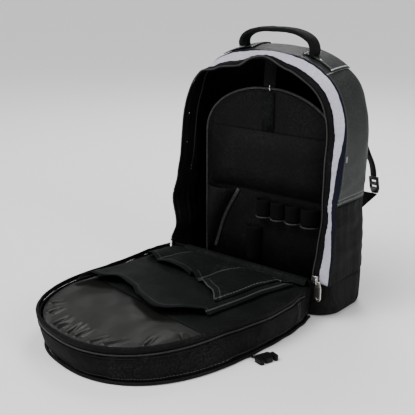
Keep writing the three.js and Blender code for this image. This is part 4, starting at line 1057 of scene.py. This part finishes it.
strand("flap_zip_coil", 6, 420, coil_path(0.93), 0.0014, COIL, "zip_cloth")
strand("flap_zip_cord", 6, 300, coil_path(0.83), 0.0011, WEBBING, "webbing")


def opening_coil_path(v):
    return edge_point(mix(0.995, -0.995, v), 0.0332, 0.0032)


strand("opening_zip_coil", 6, 420, opening_coil_path, 0.0014, COIL, "zip_cloth")
dressed("flap_front_panel", "flap_front_cloth", BLACK, "boot_cloth", level=0)
dressed("flap_hinge_wall", "flap_hinge_cloth", LINING, "boot_cloth", level=0)


# The flap's rim: a soft rolled edge of black cloth above the gusset, with the other half of the zip outside it.
# It stops short of the hinge on the right, where the zip ends.
def lip_point(u, v):
    s = mix(-1, 0.94, u)
    high = v
    roll = 0.0032 * math.sin(math.pi * min(high * 1.1, 1))
    wave = 0.0008 * noise.noise(Vector((s * 24, high, 3)))
    inset = mix(-0.0005, 0.0025, high) - 0.002 - roll + wave
    return flap_inset(s, 1, inset, 0.010 * math.sin(high * math.pi / 2) - 0.0012)


cloth("flap_rim", 280, 10, lip_point, 0.0024, [ZIP_TAPE], "zip_cloth", ["flap_zip_lip"])


# The flap's inner panel of charcoal cloth near the hinge, and the smooth coated panel at its far end.
# The coated panel is creased where it is eased into the rim.
ORGANISER = cloth_finish(
    "organiser cloth", (0.0040, 0.0048, 0.0048), (0.023, 0.027, 0.027), 0.66, 0.0011, 0.0002, 0.65
)
SHINY = cloth_finish(
    "smooth coated cloth", (0.006, 0.006, 0.0054), (0.024, 0.024, 0.021), 0.38, 0.0009, 0.00005, 0.6, 0.06, shine=0.16
)


def panel_top(u):
    return rim_height(u) + 0.002 * math.sin(math.pi * clamp(u / FLAP_LENGTH))


def s_at_u(u):
    if u < FLAP_STRAIGHT:
        return mix(1, 0.5, u / FLAP_STRAIGHT)
    past = clamp((u - FLAP_STRAIGHT) / FLAP_ARCH)
    return 0.5 * (1 - math.asin(past ** (1 / FLAP_POWER)) / (math.pi / 2))


PANEL_LEVEL = 0.84
PANEL_INSET = 0.0044


def plate_point(from_u, to_u, relief):
    def at(u, v):
        s = mix(s_at_u(from_u), s_at_u(to_u), v)
        length = flap_edge(s, PANEL_LEVEL)[0]
        left, right = (flap_inset(end, PANEL_LEVEL, PANEL_INSET) for end in (-s, s))
        point = left.lerp(right, u)
        point.z = panel_top(length)
        edge = min(u, 1 - u) * (right - left).length
        point.z += relief(point, edge)
        return point

    return at


def plain_relief(point, edge):
    return (rumple(point, 0.05, 0.0012, 6.0) - 0.002) * ease(edge / 0.02)


CREASES = [
    ((-0.165, -0.395), (-0.158, -0.372)),
    ((-0.140, -0.420), (-0.142, -0.393)),
    ((-0.103, -0.442), (-0.107, -0.405)),
    ((-0.089, -0.445), (-0.089, -0.412)),
    ((-0.062, -0.447), (-0.073, -0.405)),
    ((-0.044, -0.447), (-0.047, -0.412)),
    ((-0.012, -0.447), (-0.002, -0.415)),
    ((0.012, -0.440), (0.028, -0.407)),
    ((0.065, -0.405), (0.058, -0.375)),
    ((0.100, -0.360), (0.082, -0.345)),
]


def crease_relief(point):
    """Short creases, where the panel is eased into the rim: each a sharp valley between two soft banks."""
    flat = Vector((point.x, point.y))
    lift = 0.0
    for start, end in CREASES:
        a, along = Vector(start), Vector(end) - Vector(start)
        share = clamp((flat - a).dot(along) / along.length_squared)
        away = (flat - a - along * share).length
        fade = (1 - share) ** 0.6 * ease(share / 0.08 + 0.4)
        lift += fade * 0.0019 * hump(away - 0.0062, 0.0036)
        lift -= fade * 0.0030 * hump(away, 0.0028)
    return lift


def shiny_relief(point, edge):
    """Creases that run in from the rim, and a few low swells over the middle."""
    low = rumple(point, 0.075, 0.0024, 2.0) + rumple(point, 0.03, 0.0009, 4.0)
    return crease_relief(point) * ease(edge / 0.005) + (low - 0.0022) * ease(edge / 0.03)


inner_at = plate_point(0.001, 0.2255, plain_relief)
cloth("flap_inner_cloth", 70, 50, inner_at, 0.003, [ORGANISER], "pocket_cloth", ["flap_inner_panel"], turned=True)
coated_at = plate_point(0.226, 0.3912, shiny_relief)
cloth("flap_coated_cloth", 170, 120, coated_at, 0.003, [SHINY], "shiny_cloth", ["flap_coated_panel"], turned=True)


# The organiser on the flap: a wide document pocket under a row of bellied tool pockets, all open to the far end.
# Rows of stitches part the tool pockets, and a bound edge finishes each mouth.
DOCUMENT_MOUTH = table(
    ("at", "reach", "lift"),
    (-1, 0.69, 0.3),
    (-0.9, 0.6, 1),
    (-0.5, 0.54, 1.4),
    (-0.2, 0.545, 0.9),
    (0.1, 0.58, 0.8),
    (0.5, 0.6, 1.1),
    (1, 0.46, 0.3),
)
TOOL_MOUTH = table(
    ("at", "reach"),
    (-1, 0.27),
    (-0.4, 0.3),
    (0.05, 0.285),
    (0.35, 0.31),
    (0.75, 0.35),
    (1, 0.4),
)
POCKET_LEFT = -0.148
POCKET_RIGHT = 0.118
POCKET_MIDDLE = (POCKET_LEFT + POCKET_RIGHT) / 2
POCKET_HALF = (POCKET_RIGHT - POCKET_LEFT) / 2
POCKET_START = 0.009
POCKET_CELLS = [-0.93, -0.62, 0.06, 0.3, 0.93]
POCKET_CLOTH = 0.0018


def mouth_at(mouth, v):
    return FLAP_LENGTH * read(mouth, (v - POCKET_MIDDLE) / POCKET_HALF, "reach")


def document_rise(u, v):
    across = (v - POCKET_MIDDLE) / POCKET_HALF
    side = ease(POCKET_HALF * (1 - abs(across)) / 0.007)
    hem = ease((u - POCKET_START) / 0.026)
    gape = ease(u / mouth_at(DOCUMENT_MOUTH, v) / 0.3 - 2.3) * read(DOCUMENT_MOUTH, across, "lift")
    return 0.009 * min(side, hem) * (1 + 0.5 * gape)


def tool_rise(u, v):
    across = (v - POCKET_MIDDLE) / POCKET_HALF
    index = next((i for i, edge in enumerate(POCKET_CELLS) if across <= edge + 1e-6), len(POCKET_CELLS) - 1)
    index = max(index, 1)
    a, b = POCKET_CELLS[index - 1], POCKET_CELLS[index]
    swell = math.sin(math.pi * clamp((across - a) / (b - a))) ** 0.7
    along = u / mouth_at(TOOL_MOUTH, v)
    return 0.012 * swell * ease((along - 0.08) / 0.35) * mix(0.55, 1, along)


def document_point(a, b):
    v = mix(POCKET_LEFT, POCKET_RIGHT, a)
    u = mix(POCKET_START, mouth_at(DOCUMENT_MOUTH, v), b)
    edge = min(a, 1 - a) * 2 * POCKET_HALF
    place = Vector((v, u, 0))
    slack = (rumple(place, 0.045, 0.0022, 1.0) + rumple(place, 0.018, 0.0008, 5.0)) * ease(edge / 0.02) * ease(b / 0.3)
    return on_floor(u, v, panel_top(u) + 0.0005 + POCKET_CLOTH + document_rise(u, v) + slack)


def tool_point(a, b):
    v = POCKET_MIDDLE + POCKET_HALF * mix(POCKET_CELLS[0], POCKET_CELLS[-1], a)
    u = mix(POCKET_START, mouth_at(TOOL_MOUTH, v), b)
    place = Vector((v, u, 0))
    slack = (rumple(place, 0.03, 0.0014, 3.0) + rumple(place, 0.012, 0.0005, 9.0)) * ease(b / 0.2)
    lift = 0.0014 + POCKET_CLOTH * 2 + document_rise(u, v) + tool_rise(u, v)
    return on_floor(u, v, panel_top(u) + lift + max(slack, -0.0004))


POCKET_COLOURS = ((0.0040, 0.0048, 0.0048), (0.024, 0.028, 0.028))
wide, high = span(document_point)
DOCUMENT_STITCHES = [("X", 0.004, 0.0, 0.5), ("X", wide - 0.004, 0.0, 0.5), ("Y", high - 0.007, 0.0, 0.4)]
DOCUMENT_CLOTH = cloth_finish(
    "document pocket cloth", *POCKET_COLOURS, 0.66, 0.0011, 0.0002, 0.6, 0.0, DOCUMENT_STITCHES, 0.14
)
cloth(
    "document_pocket_cloth", 130, 90, document_point, POCKET_CLOTH, [DOCUMENT_CLOTH], "pocket_cloth",
    ["document_pocket"], turned=True, held="laid",
)
wide, high = span(tool_point)
TOOL_STITCHES = [
    ("Y", high - 0.008, 0.0, 0.35),
    ("Y", 0.013, 0.0008, 1.0),
    ("X", 0.004, 0.0, 0.3),
    ("X", wide - 0.004, 0.0, 0.6),
]
for cell in POCKET_CELLS[1:-1]:
    share = (cell - POCKET_CELLS[0]) / (POCKET_CELLS[-1] - POCKET_CELLS[0])
    TOOL_STITCHES.append(("X", wide * share - 0.002, 0.004, 0.3))
TOOL_CLOTH = cloth_finish("tool pocket cloth", *POCKET_COLOURS, 0.66, 0.0011, 0.0002, 0.6, 0.0, TOOL_STITCHES, 0.2)
cloth(
    "tool_pocket_cloth", 150, 60, tool_point, POCKET_CLOTH, [TOOL_CLOTH], "pocket_cloth",
    ["tool_pocket_row"], turned=True, held="gathered",
)


def mouth_edge(point_at, from_a, to_a, clear=0.0018):
    def path(v):
        a = mix(from_a, to_a, v)
        end = point_at(a, 1)
        along = (point_at(min(a + 0.01, 1), 1) - point_at(max(a - 0.01, 0), 1)).normalized()
        out = along.cross(Vector((0, 0, 1))).normalized()
        return end + out * clear + Vector((0, 0, -POCKET_CLOTH / 2))

    return path


TRIM = cloth_finish("grey trim", (0.030, 0.031, 0.033), (0.12, 0.12, 0.125), 0.6, 0.0009, 0.0001, 0.7)
document_edge = mouth_edge(document_point, 0.04, 0.96)
strand("document_pocket_edge", 8, 130, document_edge, 0.0014, WEBBING, "webbing", ["document_pocket_binding"])
rule_edge = mouth_edge(tool_point, 0.68, 0.99)
strand("rule_pocket_edge", 8, 70, rule_edge, 0.0014, TRIM, "trim_tape", ["rule_pocket_binding"])
strand("tool_pocket_edge", 8, 110, mouth_edge(tool_point, 0.01, 0.67), 0.0013, WEBBING, "webbing")


# The hinge strip: the flap's cloth carried over the gap and down inside the boot's front wall.
# It takes the bend when the flap folds up.
dressed("hinge_strip", "hinge_strip_cloth", ORGANISER, "pocket_cloth", level=2)


# The flap's strap: webbing sewn under its side, with the male half of a side-release buckle on its end.
# The buckle is moulded, with well rounded edges.
dressed("flap_strap", "flap_strap_webbing", WEBBING, "webbing", level=1)
buckle = dressed("flap_buckle", "flap_buckle_moulded", PLASTIC, "black_plastic", level=0)
softened(buckle, 0.0024, 4)


# The tool board: cloth over a stiff arched board, its edge bound, with webbing down the middle.
# It carries the loops, the side pocket and the small pouch, and hangs from a hanger of webbing.
BOARD = cloth_finish(
    "board cloth", (0.0032, 0.0034, 0.0034), (0.018, 0.019, 0.019), 0.6, 0.0011, 0.0002, 0.7, shine=0.1
)
BOARD_PIECES = [
    ("divider_board", "tool_board", BOARD, "pocket_cloth", 0),
    ("board_binding", "tool_board_binding", TRIM, "trim_tape", 1),
    ("tool_panel", "tool_panel_cloth", BOARD, "pocket_cloth", 0),
    ("board_webbing", "board_webbing_woven", WEBBING, "webbing", 0),
    ("board_hanger", "board_hanger_woven", WEBBING, "webbing", 1),
    ("tool_loop_band", "tool_loops", LINING, "boot_cloth", 2),
    ("tool_loop_binding", "tool_loops_binding", TRIM, "trim_tape", 1),
    ("side_pocket", "side_pocket_cloth", BOARD, "pocket_cloth", 2),
    ("pocket_zip_band", "side_pocket_zip", TRIM, "trim_tape", 1),
    ("small_pouch", "small_pouch_cloth", LINING, "boot_cloth", 2),
]
for node, name, finish, slot, level in BOARD_PIECES:
    dressed(node, name, finish, slot, level=level)


# The zip's slider and its pull: nickel-plated castings at the foot of the opening on the right.
# The bail, the wire hook at the hanger and the handle's rivets are of the same metal.
NICKEL, nickel_shader = cast_finish("nickel plate", (0.62, 0.6, 0.55), (0.75, 0.74, 0.7), 0.28)
nickel_shader.inputs["Metallic"].default_value = 1
slider = dressed("zip_slider", "zip_slider_cast", NICKEL, "nickel", level=0)
pull = dressed("zip_pull", "zip_pull_cast", NICKEL, "nickel", level=0, body="pull")
for cast in (slider, pull):
    softened(cast, 0.0006, 2)


def bail_path(v):
    """The bail on the slider's face, which the pull hangs from."""
    angle = math.pi * v
    return Vector((0.1535 + 0.0035 * v, -0.0780 - 0.0028 * math.sin(angle), 0.0722 + 0.0055 * math.cos(angle)))


strand("zip_slider_bail", 8, 16, bail_path, 0.0009, NICKEL, "nickel")


def hook_path(v):
    """A wire hook at the hanger's foot, which reaches over the board's bound edge."""
    angle = math.pi * (1.35 * v - 0.1)
    return Vector((0.004, -0.0125 - 0.0052 * math.sin(angle), 0.3845 + 0.0062 * math.cos(angle)))


strand("board_hook", 8, 24, hook_path, 0.0011, NICKEL, "nickel")


def rivet_mesh(at, up):
    bm = bmesh.new()
    turn = up.to_track_quat("Z", "Y").to_matrix().to_4x4()
    bmesh.ops.create_uvsphere(bm, u_segments=16, v_segments=8, radius=0.0026, matrix=Matrix.Translation(at) @ turn)
    for vert in bm.verts:
        away = (vert.co - at).dot(up)
        vert.co -= up * away * 0.6
    box_map(bm)
    return bm


for label, side in SIDES.items():
    t = foot_t(side) + side * 0.03
    stud = rivet_mesh(body_skin(t, FLAT_SHARE * 0.32, 0.0032), outward_at(t))
    place_piece(f"handle_rivet_{label}", stud, [NICKEL], "nickel")


# The floor and the light of the studio, and the camera at the photograph's angle.
# Three soft lights and a sun overhead stand for the photograph's even light.
floor_mesh = bmesh.new()
bmesh.ops.create_grid(floor_mesh, x_segments=1, y_segments=1, size=30)
floor_data = bpy.data.meshes.new("floor")
floor_mesh.to_mesh(floor_data)
floor_mesh.free()
floor = linked("floor", floor_data)
floor_paint, _, floor_shader, _ = new_finish("pale floor")
floor_shader.inputs["Base Color"].default_value = (0.92, 0.92, 0.92, 1)
floor_shader.inputs["Roughness"].default_value = 0.9
floor_data.materials.append(floor_paint)

world = bpy.data.worlds.new("studio")
world.use_nodes = True
backdrop = world.node_tree.nodes["Background"]
backdrop.inputs["Color"].default_value = (1, 1, 1, 1)
backdrop.inputs["Strength"].default_value = 0.42
bpy.context.scene.world = world


def area_light(name, place, look, size, power):
    data = bpy.data.lights.new(name, "AREA")
    data.size = size
    data.energy = power
    light = linked(name, data)
    light.location = place
    light.rotation_euler = (Vector(look) - Vector(place)).to_track_quat("-Z", "Y").to_euler()


area_light("key", (-0.5, -1.5, 2.1), (0, -0.15, 0.15), 0.9, 22)
area_light("side", (2.0, -0.3, 1.2), (0.1, -0.1, 0.25), 0.8, 20)
area_light("back", (-0.9, 1.3, 1.9), (0, -0.15, 0.2), 1.0, 26)
sun_data = bpy.data.lights.new("overhead", "SUN")
sun_data.energy = 1.9
sun_data.angle = 0.8
sun = linked("overhead", sun_data)
sun.rotation_euler = (math.radians(24), math.radians(-14), 0)

CAMERA_AT = Vector((0.8318, -1.1756, 0.5940))
CAMERA_LOOK = Vector((-0.0908, -0.0762, 0.1579))
camera_data = bpy.data.cameras.new("camera")
camera_data.lens = 69.23
camera_data.sensor_width = 36
camera = linked("camera", camera_data)
camera.location = CAMERA_AT
camera.rotation_euler = (CAMERA_LOOK - CAMERA_AT).to_track_quat("-Z", "Y").to_euler()
bpy.context.scene.camera = camera
